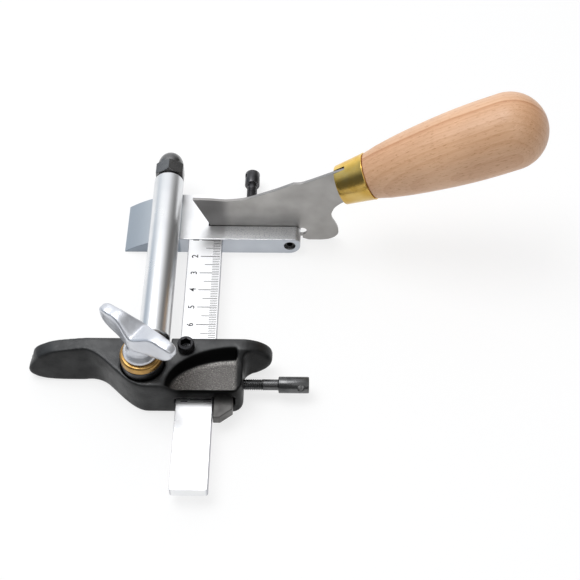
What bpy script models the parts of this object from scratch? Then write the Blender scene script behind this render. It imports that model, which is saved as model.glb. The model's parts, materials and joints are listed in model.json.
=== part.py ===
# Strap cutter: a graduated bar carries a knife head at one end and a sliding fence along its
# length. A roller on the fence holds the strap down on the head's nose while the knife cuts it.
#
# Metres. X runs across the bar toward the handle, Y along the bar away from its free end, Z up.
# The knife's front face lies about Y = 0, the bar's centreline is X = 0 and the soles are Z = 0.

import math

import bmesh
import bpy
from mathutils import Matrix, Vector

# Clearances and finishing
FIT_GAP = 0.0003
CUT_OVERRUN = 0.003
WELD = 0.00001

# Counts
ROUND_STEPS = 32
SMALL_STEPS = 20
CURVE_STEPS = 8
SMOOTH_STEPS = 3

# Graduated bar
BAR_WIDTH = 0.016
BAR_THICK = 0.005
BAR_LIFT = 0.005
BAR_REACH = 0.144
BAR_TENON = 0.0055
BAR_TENON_WIDTH = 0.012
BAR_TENON_DROP = 0.0018
BAR_RIM = 0.0004
BAR_CORNER = 0.001

# Head: nose ramp, front arm, rear jaw and the slot for the knife
HEAD_FRONT = 0.0094
HEAD_BACK = 0.0195
HEAD_RIM = 0.0004
NOSE_REACH = 0.0395
NOSE_FLAT = 0.0115
NOSE_LIP = 0.0005
ARM_REACH = 0.0453
ARM_CORNER = 0.0055
ARM_SHOULDER = 0.0032
JAW_BACK = 0.0140
JAW_START = 0.004
JAW_SLOPE = 0.008
SLOT_START = 0.001
SLOT_FLOOR = 0.0024

# Dowels that hold the bar in the head
DOWEL_RADIUS = 0.0015
DOWEL_LIFT = 0.0004
DOWEL_SPREAD = 0.0045
DOWEL_TOP_COVER = 0.0012

# Knife
KNIFE_THICK = 0.0015
KNIFE_TIP_LEFT = 0.0056
KNIFE_SPAN = 0.0655
KNIFE_RISE = 0.0500
KNIFE_BASE = 0.003
KNIFE_EDGE_RUN = 0.0105
KNIFE_HEEL_LIFT = 0.0003
KNIFE_HEEL_START = 0.0463
KNIFE_HOLE_X = 0.0460
KNIFE_HOLE_Z = 0.0064
KNIFE_HOLE_RADIUS = 0.0024
TANG_LENGTH = 0.030
TANG_HEIGHT = 0.007
TANG_SEAT = 0.0055

# Handle and ferrule, on one axis that leans up from the knife
HANDLE_LEAN_DEG = 26.0
HANDLE_START_X = 0.0640
HANDLE_START_Z = 0.0384
FERRULE_LENGTH = 0.0145
FERRULE_FRONT_RADIUS = 0.0094
FERRULE_BACK_RADIUS = 0.0112
FERRULE_WALL = 0.0009
FERRULE_ROLL = 0.0003
HANDLE_LENGTH = 0.0836
HANDLE_SHOULDER = 0.0110
HANDLE_BELLY = 0.0174
HANDLE_SPIGOT_BACK = 0.0004

# Fence casting
FENCE_REST = 0.0745
FENCE_HEIGHT = 0.020
FENCE_DEPTH = 0.0258
FENCE_RIM = 0.0006
WING_THICK = 0.0062
WING_LEAN = 0.0034
WING_LEAN_START = 0.0500
WING_LEAN_END = 0.0400
WING_LEFT = 0.0754
WING_LEFT_RUN = 0.0274
WING_RIGHT = 0.0334
WING_RIGHT_ROUND = 0.0140
WING_RIGHT_FOOT = 0.0100
WING_NOSE_HEIGHT = 0.0098
WING_RIGHT_THICK = 0.0058
SWELL_START = 0.050
SWELL_END = 0.0205
BLOCK_RIGHT = 0.0208
BLOCK_CORNER = 0.0050
BLOCK_FILLET = 0.0045
POCKET_LENGTH = 0.0300
POCKET_DEPTH = 0.0200
POCKET_RIGHT = 0.0180
POCKET_FLOOR = 0.0150
POCKET_LIP = 0.0012
POCKET_SCOOP = 0.0045
ARCH_TOP = 0.0132

# Gib that the clamp screw presses against the bar
GIB_WIDTH = 0.0083
GIB_STICKOUT = 0.0085
GIB_BEVEL = 0.0042
GIB_TRAVEL = 0.0005

# M5 clamp screws with a cross-drilled head
SCREW_RADIUS = 0.0025
SCREW_ROOT = 0.0021
SCREW_PITCH = 0.0008
SCREW_NECK_RADIUS = 0.0024
SCREW_CHAMFER = 0.0005
FENCE_SCREW_SET = 0.0156
FENCE_SCREW_HEIGHT = 0.0070
FENCE_SCREW_THREAD = 0.0128
FENCE_SCREW_SHANK = 0.0064
CLAMP_HEAD_RADIUS = 0.00365
CLAMP_HEAD_LENGTH = 0.0134
CROSS_HOLE_RADIUS = 0.00155
CROSS_HOLE_INSET = 0.0036
CROSS_HOLE_TILT_DEG = 60.0
HEAD_SCREW_X = 0.0210
HEAD_SCREW_HEIGHT = 0.0062
HEAD_SCREW_THREAD = 0.0190
HEAD_SCREW_SHANK = 0.0088
HEAD_SCREW_HEAD = 0.0080
HEAD_HOLE_INSET = 0.0026
HEAD_HOLE_TILT_DEG = 15.0

# Grub screw in the head's front arm
GRUB_INSET = 0.0052
GRUB_HEIGHT = 0.0055
GRUB_LENGTH = 0.0070
GRUB_RECESS = 0.0010
GRUB_COUNTERSINK = 0.0005
GRUB_SOCKET_RADIUS = 0.0016

# Socket cap screw on the fence
CAP_X = 0.0040
CAP_SET = 0.0056
CAP_HEAD_RADIUS = 0.00365
CAP_HEAD_HEIGHT = 0.0040
CAP_SHANK_RADIUS = 0.0020
CAP_EDGE = 0.0003
SOCKET_RADIUS = 0.0018
SOCKET_DEPTH = 0.0025

# Roller post: a sleeve round a fixed stud, lifted by a spring and held down by a wing nut
POST_X = 0.0223
POST_SET = 0.0135
POST_RADIUS = 0.00915
POST_TOP = 0.0242
POST_BASE = 0.0110
POST_EDGE = 0.0004
STUD_RADIUS = 0.0040
STUD_TOP = 0.0355
STUD_BASE = 0.0015
STUD_EDGE = 0.0006
WASHER_RADIUS = 0.00935
WASHER_HEIGHT = 0.0035
WASHER_EDGE = 0.0010
LIFT_DOWN = 0.0020

# Wing nut: a bell-shaped hub with a blind bore and one saddle-topped bar across it
HUB_RADIUS = 0.00775
HUB_HEIGHT = 0.0128
HUB_BORE_DEPTH = 0.0096
WING_SPAN = 0.0408
WING_RISE = 0.0208
WING_BAR = 0.0052
WING_BAR_RIM = 0.0008
WING_TURN_DEG = -36.0

# Spring under the post
SPRING_RADIUS = 0.0066
SPRING_WIRE = 0.0006
SPRING_TURNS = 4
SPRING_CURL_POINTS = 10
SPRING_LEAST_GAP = 0.0004

# Roller, its spindle, bushes, washers and domed nut
SPINDLE_X = 0.0185
SPINDLE_HEIGHT = 0.0200
SPINDLE_RADIUS = 0.0040
SPINDLE_ENTRY = 0.0087
SPINDLE_EDGE = 0.0005
ROLLER_RADIUS = 0.0070
ROLLER_BORE = 0.0054
ROLLER_END = 0.0184
ROLLER_ENTRY = 0.0008
ROLLER_EDGE = 0.0005
BUSH_LENGTH = 0.0120
SPACER_RADIUS = 0.0055
THRUST_RADIUS = 0.0060
THRUST_HEIGHT = 0.0010
DOME_FLATS = 0.0130
DOME_HEX_HEIGHT = 0.0078
DOME_HEIGHT = 0.0160
DOME_BASE_RADIUS = 0.0062
DOME_BORE_DEPTH = 0.0105

# Shares of the shape that carries them
KNIFE_TOP_SHARES = [
    (0.000, 0.564), (0.127, 0.558), (0.234, 0.546), (0.342, 0.562), (0.414, 0.590),
    (0.499, 0.640), (0.592, 0.696), (0.663, 0.744), (0.722, 0.786),
]
KNIFE_NECK_SHARES = [(0.722, 0.786), (0.775, 0.790), (0.838, 0.826), (0.908, 0.874), (0.975, 0.920)]
KNIFE_CHOIL_SHARES = [
    (1.095, 0.560), (1.050, 0.513), (1.018, 0.461), (1.002, 0.400), (0.999, 0.355),
    (1.010, 0.300), (1.030, 0.245), (1.048, 0.185), (1.056, 0.122), (1.048, 0.080),
    (1.020, 0.040), (0.980, 0.016), (0.930, 0.006),
]
HANDLE_SWELL_SHARES = [
    (0.00, 0.000), (0.08, 0.240), (0.20, 0.500), (0.33, 0.710), (0.46, 0.870),
    (0.58, 0.965), (0.70, 1.000), (0.79, 1.000),
]
HANDLE_CAP_SHARE = 0.79
WING_LEFT_SHARES = [
    (0.00, 1.000), (0.29, 0.945), (0.52, 0.885), (0.70, 0.755), (0.83, 0.600), (0.934, 0.400),
    (0.99, 0.270), (0.97, 0.160), (0.87, 0.070), (0.74, 0.018), (0.62, 0.000),
]
WING_END_LEAN_SHARE = 0.25
WING_FOOT_SHARES = [(0.00, 0.284), (0.24, 0.279), (0.44, 0.288), (0.64, 0.346), (0.81, 0.471),
                    (0.94, 0.635), (1.00, 0.789)]
WING_CROWN_SHARES = [(1.00, 0.789), (0.97, 0.923), (0.853, 0.990), (0.686, 1.000), (0.54, 0.970),
                     (0.39, 0.889), (0.20, 0.779), (0.00, 0.740)]
HUB_SHARES = [(0.34, 0.984), (0.56, 0.922), (0.69, 0.805), (0.765, 0.625), (0.83, 0.390),
              (0.93, 0.172), (1.00, 0.094), (1.00, 0.030), (0.96, 0.000)]
THREAD_CREST_SHARE = 0.30
THREAD_ROOT_SHARE = 0.80
GIB_BEVEL_SHARE = 1.26

# Places worked out from the sizes above
BAR_TOP = BAR_LIFT + BAR_THICK
HEAD_HEIGHT = BAR_TOP
FENCE_FRONT = FENCE_REST + FENCE_DEPTH
GRUB_X = ARM_REACH - GRUB_INSET
SLOT_HALF = KNIFE_THICK / 2 + FIT_GAP
HANDLE_LEAN = math.radians(HANDLE_LEAN_DEG)
HANDLE_START = Vector((HANDLE_START_X, 0, HANDLE_START_Z))
HANDLE_DIR = Vector((math.cos(HANDLE_LEAN), 0, math.sin(HANDLE_LEAN)))
POST_Y = -(FENCE_REST + POST_SET)
POST_BORE = POST_RADIUS + FIT_GAP
STUD_BORE = STUD_RADIUS + FIT_GAP
SPINDLE_TAIL = FENCE_REST + SPINDLE_ENTRY
ROLLER_START = FENCE_REST + ROLLER_ENTRY
NUT_SEAT = ROLLER_END + FIT_GAP + THRUST_HEIGHT + FIT_GAP
GIB_LEFT = BAR_WIDTH / 2 + FIT_GAP
GIB_RIGHT = GIB_LEFT + GIB_WIDTH
SCREW_TIP = GIB_RIGHT + FIT_GAP
WASHER_BASE = POST_TOP + FIT_GAP
NUT_BASE = WASHER_BASE + WASHER_HEIGHT + FIT_GAP

FACING = {
    "+Z": Matrix.Identity(4),
    "+Y": Matrix.Rotation(-math.pi / 2, 4, "X"),
    "-Y": Matrix.Rotation(math.pi / 2, 4, "X"),
    "+X": Matrix.Rotation(math.pi / 2, 4, "Y"),
    "-X": Matrix.Rotation(-math.pi / 2, 4, "Y"),
}


def clear_scene():
    for item in list(bpy.data.objects):
        bpy.data.objects.remove(item, do_unlink=True)


def new_collection(name):
    group = bpy.data.collections.new(name)
    bpy.context.scene.collection.children.link(group)
    return group


def make_material(name, color, roughness, metallic):
    material = bpy.data.materials.new(name)
    material.use_nodes = True
    shader = material.node_tree.nodes["Principled BSDF"]
    shader.inputs["Base Color"].default_value = (*color, 1)
    shader.inputs["Roughness"].default_value = roughness
    shader.inputs["Metallic"].default_value = metallic
    material.diffuse_color = (*color, 1)
    return material


def put(name, mesh, group, material=None):
    item = bpy.data.objects.new(name, mesh)
    group.objects.link(item)
    if material is not None:
        mesh.materials.clear()
        mesh.materials.append(material)
    return item


def as_cutter(item):
    item.hide_render = True
    item.display_type = "WIRE"
    return item


def boolean(item, tool, operation="DIFFERENCE", solver="EXACT"):
    step = item.modifiers.new(tool.name, "BOOLEAN")
    step.operation = operation
    step.solver = solver
    step.object = tool


def box_mesh(name, low, high):
    low = Vector(low)
    high = Vector(high)
    work = bmesh.new()
    bmesh.ops.create_cube(work, size=1)
    size = Matrix.Diagonal((*(high - low), 1))
    bmesh.ops.transform(work, matrix=Matrix.Translation((low + high) / 2) @ size, verts=work.verts)
    mesh = bpy.data.meshes.new(name)
    work.to_mesh(mesh)
    work.free()
    return mesh


def rod_mesh(name, radius, length, steps, place):
    work = bmesh.new()
    bmesh.ops.create_cone(
        work, cap_ends=True, segments=steps, radius1=radius, radius2=radius, depth=length
    )
    bmesh.ops.transform(work, matrix=place @ Matrix.Translation((0, 0, length / 2)), verts=work.verts)
    mesh = bpy.data.meshes.new(name)
    work.to_mesh(mesh)
    work.free()
    return mesh


def plate_mesh(name, outline, thickness, rim, place):
    # A flat outline in its own XY plane, centred on Z = 0, with its rims rounded by the bevel
    curve = bpy.data.curves.new(name, "CURVE")
    curve.dimensions = "2D"
    curve.fill_mode = "BOTH"
    curve.extrude = thickness / 2 - rim
    curve.bevel_depth = rim
    curve.bevel_resolution = 1
    curve.offset = -rim
    line = curve.splines.new("POLY")
    line.points.add(len(outline) - 1)
    for point, (x, y) in zip(line.points, outline):
        point.co = (x, y, 0, 1)
    line.use_cyclic_u = True
    item = bpy.data.objects.new(name, curve)
    bpy.context.scene.collection.objects.link(item)
    bpy.context.view_layer.update()
    mesh = bpy.data.meshes.new_from_object(item.evaluated_get(bpy.context.evaluated_depsgraph_get()))
    bpy.data.objects.remove(item, do_unlink=True)
    mesh.name = name
    work = bmesh.new()
    work.from_mesh(mesh)
    bmesh.ops.remove_doubles(work, verts=work.verts, dist=WELD)
    bmesh.ops.recalc_face_normals(work, faces=work.faces)
    bmesh.ops.transform(work, matrix=place, verts=work.verts)
    work.to_mesh(mesh)
    work.free()
    return mesh


def turned(name, profile, steps, group, material, closed=False):
    # The profile is (radius, height) and runs down the outer side; a ring's profile closes on itself
    mesh = bpy.data.meshes.new(name)
    points = [(radius, 0, height) for radius, height in profile]
    count = len(points)
    edges = [(i, i + 1) for i in range(count - 1)]
    if closed:
        edges.append((count - 1, 0))
    mesh.from_pydata(points, edges, [])
    item = put(name, mesh, group, material)
    spin = item.modifiers.new("Turn", "SCREW")
    spin.steps = steps
    spin.render_steps = steps
    spin.use_merge_vertices = True
    spin.merge_threshold = WELD
    spin.use_smooth_shade = True
    return item


def arc(center, radius, start_deg, end_deg, steps=CURVE_STEPS):
    points = []
    for i in range(steps + 1):
        turn = math.radians(start_deg + (end_deg - start_deg) * i / steps)
        points.append((center[0] + radius * math.cos(turn), center[1] + radius * math.sin(turn)))
    return points


def smooth_run(points, steps=SMOOTH_STEPS):
    # Catmull-Rom curve through the points, ends kept
    run = []
    last = len(points) - 1
    for i in range(last):
        a = Vector(points[max(i - 1, 0)])
        b = Vector(points[i])
        c = Vector(points[i + 1])
        d = Vector(points[min(i + 2, last)])
        for j in range(steps):
            t = j / steps
            spot = 2 * b + (c - a) * t + (2 * a - 5 * b + 4 * c - d) * t**2
            spot = (spot + (3 * b - a - 3 * c + d) * t**3) / 2
            run.append((spot.x, spot.y))
    run.append(tuple(points[last]))
    return run


def rounded_rectangle(low, high, radius, steps=3):
    return (
        arc((high[0] - radius, low[1] + radius), radius, -90, 0, steps)
        + arc((high[0] - radius, high[1] - radius), radius, 0, 90, steps)
        + arc((low[0] + radius, high[1] - radius), radius, 90, 180, steps)
        + arc((low[0] + radius, low[1] + radius), radius, 180, 270, steps)
    )


def at(x, y, z, facing="+Z"):
    return Matrix.Translation((x, y, z)) @ FACING[facing]


# Side outlines are drawn in (X, Z): this turn stands them up and faces them along Y
def standing(y):
    return Matrix.Translation((0, y, 0)) @ Matrix.Rotation(math.pi / 2, 4, "X")


def make_bar(group, cutters, steel):
    half = BAR_WIDTH / 2
    end = -(HEAD_FRONT - BAR_TENON)
    outline = rounded_rectangle((-half, -BAR_REACH), (half, end), BAR_CORNER)
    middle = BAR_LIFT + BAR_THICK / 2
    mesh = plate_mesh("graduated_bar", outline, BAR_THICK, BAR_RIM, at(0, 0, middle))
    bar = put("graduated_bar", mesh, group, steel)

    # The tenon at the head's end is narrower and lower than the bar
    over = half + CUT_OVERRUN
    low = BAR_LIFT - CUT_OVERRUN
    high = BAR_TOP + CUT_OVERRUN
    tenon = BAR_TENON_WIDTH / 2
    cheek = BAR_TOP - BAR_TENON_DROP
    shoulders = [(over, low), (over, high), (-over, high), (-over, low), (-tenon, low),
                 (-tenon, cheek), (tenon, cheek), (tenon, low)]
    depth = BAR_TENON + FIT_GAP + CUT_OVERRUN
    cut = plate_mesh("tenon_shoulders", shoulders, depth, 0,
                     standing(end + CUT_OVERRUN - depth / 2))
    boolean(bar, as_cutter(put("tenon_shoulders", cut, cutters)))
    for side in (-1, 1):
        hole = rod_mesh("dowel_hole", DOWEL_RADIUS + FIT_GAP, BAR_TOP, SMALL_STEPS,
                        at(side * DOWEL_SPREAD, dowel_y(), 0))
        boolean(bar, as_cutter(put("bar_dowel_hole", hole, cutters)))
    return bar


def dowel_y():
    return -(HEAD_FRONT - BAR_TENON / 2)


def make_dowels(group, steel):
    length = BAR_TOP - DOWEL_TOP_COVER - DOWEL_LIFT
    for side, name in ((-1, "bar_dowel_left"), (1, "bar_dowel_right")):
        mesh = rod_mesh(name, DOWEL_RADIUS, length, SMALL_STEPS,
                        at(side * DOWEL_SPREAD, dowel_y(), DOWEL_LIFT))
        put(name, mesh, group, steel)


def head_outline():
    ramp = []
    for i in range(CURVE_STEPS + 1):
        t = i / CURVE_STEPS
        rise = NOSE_LIP + (HEAD_HEIGHT - NOSE_LIP) * (1 - (1 - t) ** 2)
        ramp.append((-NOSE_REACH + (NOSE_REACH - NOSE_FLAT) * t, rise))
    corner = arc((ARM_REACH - ARM_CORNER, ARM_CORNER), ARM_CORNER, 0, -90)
    shoulder = arc((ARM_REACH - ARM_SHOULDER, HEAD_HEIGHT - ARM_SHOULDER), ARM_SHOULDER, 90, 0)
    return [(-NOSE_REACH, 0)] + ramp + shoulder + corner


def make_head(group, cutters, steel):
    depth = HEAD_FRONT + HEAD_BACK
    middle = (HEAD_BACK - HEAD_FRONT) / 2
    mesh = plate_mesh("head", head_outline(), depth, HEAD_RIM, standing(middle))
    head = put("head", mesh, group, steel)
    over = HEAD_HEIGHT + CUT_OVERRUN

    slot = box_mesh("knife_slot", (SLOT_START, -SLOT_HALF, SLOT_FLOOR),
                    (ARM_REACH + CUT_OVERRUN, SLOT_HALF, over))
    boolean(head, as_cutter(put("knife_slot", slot, cutters)))

    half = BAR_TENON_WIDTH / 2 + FIT_GAP
    socket = box_mesh("bar_socket", (-half, -HEAD_FRONT - CUT_OVERRUN, BAR_LIFT - FIT_GAP),
                      (half, -(HEAD_FRONT - BAR_TENON) + FIT_GAP,
                       BAR_TOP - BAR_TENON_DROP + FIT_GAP))
    boolean(head, as_cutter(put("bar_socket", socket, cutters)))

    step = [(JAW_START, HEAD_BACK + CUT_OVERRUN), (JAW_START, HEAD_BACK),
            (JAW_START + JAW_SLOPE, JAW_BACK), (ARM_REACH + CUT_OVERRUN, JAW_BACK),
            (ARM_REACH + CUT_OVERRUN, HEAD_BACK + CUT_OVERRUN)]
    relief = plate_mesh("jaw_relief", step, over + CUT_OVERRUN, 0, at(0, 0, HEAD_HEIGHT / 2))
    boolean(head, as_cutter(put("jaw_relief", relief, cutters)), solver="MANIFOLD")

    drilled = BAR_TOP - DOWEL_TOP_COVER + FIT_GAP + CUT_OVERRUN
    for side in (-1, 1):
        hole = rod_mesh("dowel_hole", DOWEL_RADIUS + FIT_GAP, drilled, SMALL_STEPS,
                        at(side * DOWEL_SPREAD, dowel_y(), -CUT_OVERRUN))
        boolean(head, as_cutter(put("head_dowel_hole", hole, cutters)))

    tap = rod_mesh("clamp_hole", SCREW_RADIUS + FIT_GAP, JAW_BACK + CUT_OVERRUN, SMALL_STEPS,
                   at(HEAD_SCREW_X, 0, HEAD_SCREW_HEIGHT, "+Y"))
    boolean(head, as_cutter(put("clamp_hole", tap, cutters)))

    grub = rod_mesh("grub_hole", SCREW_RADIUS + FIT_GAP, HEAD_FRONT + CUT_OVERRUN, SMALL_STEPS,
                    at(GRUB_X, 0, GRUB_HEIGHT, "-Y"))
    boolean(head, as_cutter(put("grub_hole", grub, cutters)))
    return head


def make_grub_screw(group, cutters, black):
    length = GRUB_LENGTH
    profile = [(0, length), (SCREW_RADIUS - GRUB_COUNTERSINK, length),
               (SCREW_RADIUS, length - GRUB_COUNTERSINK), (SCREW_RADIUS, GRUB_COUNTERSINK),
               (SCREW_RADIUS - GRUB_COUNTERSINK, 0), (0, 0)]
    grub = turned("grub_screw", profile, SMALL_STEPS, group, black)
    grub.matrix_world = at(GRUB_X, -(HEAD_FRONT - GRUB_RECESS - length), GRUB_HEIGHT, "-Y")
    socket = rod_mesh("grub_socket", GRUB_SOCKET_RADIUS, SOCKET_DEPTH + CUT_OVERRUN, 6,
                      at(0, 0, length - SOCKET_DEPTH))
    tool = as_cutter(put("grub_socket", socket, cutters))
    tool.matrix_world = grub.matrix_world
    boolean(grub, tool)
    return grub


def clamp_screw(name, sizes, group, cutters, black):
    # Origin at the tip, screw along local Z: thread, plain shank, then the cross-drilled head
    thread, shank, head_length, head_radius, hole_inset, hole_tilt = sizes
    neck = thread + shank
    end = neck + head_length
    edge = SCREW_CHAMFER
    profile = [(0, end), (head_radius - edge, end), (head_radius, end - edge),
               (head_radius, neck + edge), (head_radius - edge, neck),
               (SCREW_NECK_RADIUS, neck), (SCREW_NECK_RADIUS, thread)]
    turns = int(thread / (2 * SCREW_PITCH))
    pitch = thread / turns
    for i in range(turns):
        top = thread - i * pitch
        profile.append((SCREW_RADIUS, top - pitch * THREAD_CREST_SHARE))
        profile.append((SCREW_ROOT, top - pitch * THREAD_ROOT_SHARE))
    profile[-1] = (SCREW_ROOT, edge)
    profile += [(SCREW_ROOT - edge, 0), (0, 0)]
    screw = turned(name, profile, SMALL_STEPS, group, black)
    turn = Matrix.Rotation(math.radians(hole_tilt), 4, "Z") @ FACING["+X"]
    length = 2 * head_radius + 2 * CUT_OVERRUN
    place = Matrix.Translation((0, 0, end - hole_inset)) @ turn @ Matrix.Translation((0, 0, -length / 2))
    tool = as_cutter(put(name + "_cross_hole", rod_mesh("cross_hole", CROSS_HOLE_RADIUS, length,
                                                        SMALL_STEPS, place), cutters))
    boolean(screw, tool)
    return screw, tool


def make_head_screw(group, cutters, black):
    sizes = (HEAD_SCREW_THREAD, HEAD_SCREW_SHANK, HEAD_SCREW_HEAD, CLAMP_HEAD_RADIUS,
             HEAD_HOLE_INSET, HEAD_HOLE_TILT_DEG)
    screw, tool = clamp_screw("blade_clamp_screw", sizes, group, cutters, black)
    place = at(HEAD_SCREW_X, KNIFE_THICK / 2 + FIT_GAP, HEAD_SCREW_HEIGHT, "+Y")
    screw.matrix_world = place
    tool.matrix_world = place
    return screw


def make_fence_screw(group, cutters, black):
    sizes = (FENCE_SCREW_THREAD, FENCE_SCREW_SHANK, CLAMP_HEAD_LENGTH, CLAMP_HEAD_RADIUS,
             CROSS_HOLE_INSET, CROSS_HOLE_TILT_DEG)
    screw, tool = clamp_screw("fence_clamp_screw", sizes, group, cutters, black)
    place = at(SCREW_TIP, -(FENCE_REST + FENCE_SCREW_SET), FENCE_SCREW_HEIGHT, "+X")
    screw.matrix_world = place
    tool.matrix_world = place
    return screw


def knife_point(share):
    return (share[0] * KNIFE_SPAN - KNIFE_TIP_LEFT, share[1] * KNIFE_RISE)


def along_handle(distance, offset):
    # A point in (X, Z) at a distance along the handle's axis and an offset square to it
    spot = HANDLE_START + HANDLE_DIR * distance
    return (spot.x - HANDLE_DIR.z * offset, spot.z + HANDLE_DIR.x * offset)


def knife_outline():
    top = smooth_run([knife_point(s) for s in KNIFE_TOP_SHARES])
    neck = smooth_run([knife_point(s) for s in KNIFE_NECK_SHARES])[1:]
    tang = [along_handle(0, FERRULE_FRONT_RADIUS), along_handle(TANG_SEAT, FERRULE_FRONT_RADIUS),
            along_handle(TANG_SEAT, TANG_HEIGHT / 2), along_handle(TANG_LENGTH, TANG_HEIGHT / 4),
            along_handle(TANG_LENGTH, -TANG_HEIGHT / 4), along_handle(TANG_SEAT, -TANG_HEIGHT / 2),
            along_handle(TANG_SEAT, -FERRULE_FRONT_RADIUS), along_handle(0, -FERRULE_FRONT_RADIUS)]
    choil = smooth_run([knife_point(s) for s in KNIFE_CHOIL_SHARES])
    heel = [(KNIFE_HEEL_START + KNIFE_BASE, KNIFE_HEEL_LIFT), (KNIFE_HEEL_START, KNIFE_BASE / 2),
            (KNIFE_HEEL_START, KNIFE_BASE), (KNIFE_EDGE_RUN - KNIFE_TIP_LEFT, KNIFE_BASE)]
    return top + neck + tang + choil + heel


def make_knife(group, cutters, steel):
    mesh = plate_mesh("knife_blade", knife_outline(), KNIFE_THICK, 0, standing(0))
    knife = put("knife_blade", mesh, group, steel)
    hole = rod_mesh("knife_hole", KNIFE_HOLE_RADIUS, KNIFE_THICK + 2 * CUT_OVERRUN, SMALL_STEPS,
                    at(KNIFE_HOLE_X, -KNIFE_THICK / 2 - CUT_OVERRUN, KNIFE_HOLE_Z, "+Y"))
    boolean(knife, as_cutter(put("knife_hole", hole, cutters)), solver="MANIFOLD")
    return knife


def handle_frame():
    return Matrix.Translation(HANDLE_START) @ Matrix.Rotation(math.pi / 2 - HANDLE_LEAN, 4, "Y")


def along_axis(tool):
    as_cutter(tool).matrix_world = handle_frame()
    return tool


def knife_mouth(name, cutters):
    # Wide slot that takes the knife's shoulders
    half = KNIFE_THICK / 2 + FIT_GAP
    wide = FERRULE_BACK_RADIUS + CUT_OVERRUN
    mesh = box_mesh(name, (-wide, -half, -CUT_OVERRUN), (wide, half, TANG_SEAT + FIT_GAP))
    return along_axis(put(name, mesh, cutters))


def tang_slot(name, cutters):
    half = KNIFE_THICK / 2 + FIT_GAP
    narrow = TANG_HEIGHT / 2 + FIT_GAP
    mesh = box_mesh(name, (-narrow, -half, 0), (narrow, half, TANG_LENGTH + FIT_GAP))
    return along_axis(put(name, mesh, cutters))


def make_ferrule(group, cutters, brass):
    front = FERRULE_FRONT_RADIUS
    back = FERRULE_BACK_RADIUS
    wall = FERRULE_WALL
    roll = FERRULE_ROLL
    profile = [(back - wall, FERRULE_LENGTH), (back - roll, FERRULE_LENGTH),
               (back, FERRULE_LENGTH - roll), (front, roll), (front - roll, 0), (front - wall, 0)]
    ferrule = turned("ferrule", profile, ROUND_STEPS, group, brass, closed=True)
    ferrule.matrix_world = handle_frame()
    boolean(ferrule, knife_mouth("ferrule_mouth", cutters))
    return ferrule


def handle_radius(share):
    low = HANDLE_SWELL_SHARES[0]
    for high in HANDLE_SWELL_SHARES[1:]:
        if share <= high[0]:
            mix = (share - low[0]) / (high[0] - low[0])
            swell = low[1] + (high[1] - low[1]) * mix
            return HANDLE_SHOULDER + (HANDLE_BELLY - HANDLE_SHOULDER) * swell
        low = high
    return HANDLE_BELLY


def make_handle(group, cutters, wood):
    start = FERRULE_LENGTH + FIT_GAP
    end = FERRULE_LENGTH + HANDLE_LENGTH
    cap_start = start + HANDLE_LENGTH * HANDLE_CAP_SHARE
    cap = end - cap_start
    profile = []
    for i in range(CURVE_STEPS + 1):
        turn = math.pi / 2 * (1 - i / CURVE_STEPS)
        profile.append((HANDLE_BELLY * math.cos(turn), cap_start + cap * math.sin(turn)))
    profile[0] = (0, end)
    for share, _ in reversed(HANDLE_SWELL_SHARES[:-1]):
        profile.append((handle_radius(share), start + HANDLE_LENGTH * share))
    inside = FERRULE_WALL + FIT_GAP
    profile += [(FERRULE_BACK_RADIUS - inside, start),
                (FERRULE_FRONT_RADIUS - inside, HANDLE_SPIGOT_BACK), (0, HANDLE_SPIGOT_BACK)]
    handle = turned("handle", profile, ROUND_STEPS, group, wood)
    handle.matrix_world = handle_frame()
    boolean(handle, knife_mouth("handle_mouth", cutters))
    boolean(handle, tang_slot("handle_slot", cutters))
    return handle


def wing_end(center, reach, up, down, steps=CURVE_STEPS):
    # Rounded wing end in the front view, from the top round to the foot; reach may be negative
    points = []
    for i in range(2 * steps + 1):
        turn = math.pi / 2 - math.pi * i / (2 * steps)
        rise = up if turn > 0 else down
        points.append((center[0] + reach * math.cos(turn), center[1] + rise * math.sin(turn)))
    return points


def fence_front_view():
    right = wing_end((WING_RIGHT - WING_RIGHT_ROUND, WING_NOSE_HEIGHT), WING_RIGHT_ROUND,
                     FENCE_HEIGHT - WING_NOSE_HEIGHT, WING_NOSE_HEIGHT)
    right[-1] = (WING_RIGHT - WING_RIGHT_FOOT, 0)
    start = WING_LEFT - WING_LEFT_RUN
    left = smooth_run([(-start - along * WING_LEFT_RUN, up * FENCE_HEIGHT)
                       for along, up in WING_LEFT_SHARES])
    return list(reversed(right)) + left


def lean_wing_end(mesh):
    # The left wing gets shorter toward its front
    start = WING_LEFT - WING_LEFT_RUN
    for spot in mesh.vertices:
        if spot.co.x < -start:
            grow = (-start - spot.co.x) / WING_LEFT_RUN
            spot.co.x += grow * WING_END_LEAN_SHARE * (-FENCE_REST - spot.co.y)


def lean_wing_front(mesh):
    # The left wing gets thicker toward its foot
    for spot in mesh.vertices:
        along = (-spot.co.x - WING_LEAN_END) / (WING_LEAN_START - WING_LEAN_END)
        along = min(max(along, 0), 1)
        if spot.co.y < -FENCE_REST - FENCE_RIM - WELD:
            spot.co.y -= WING_LEAN * along * (1 - spot.co.z / FENCE_HEIGHT)


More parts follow.
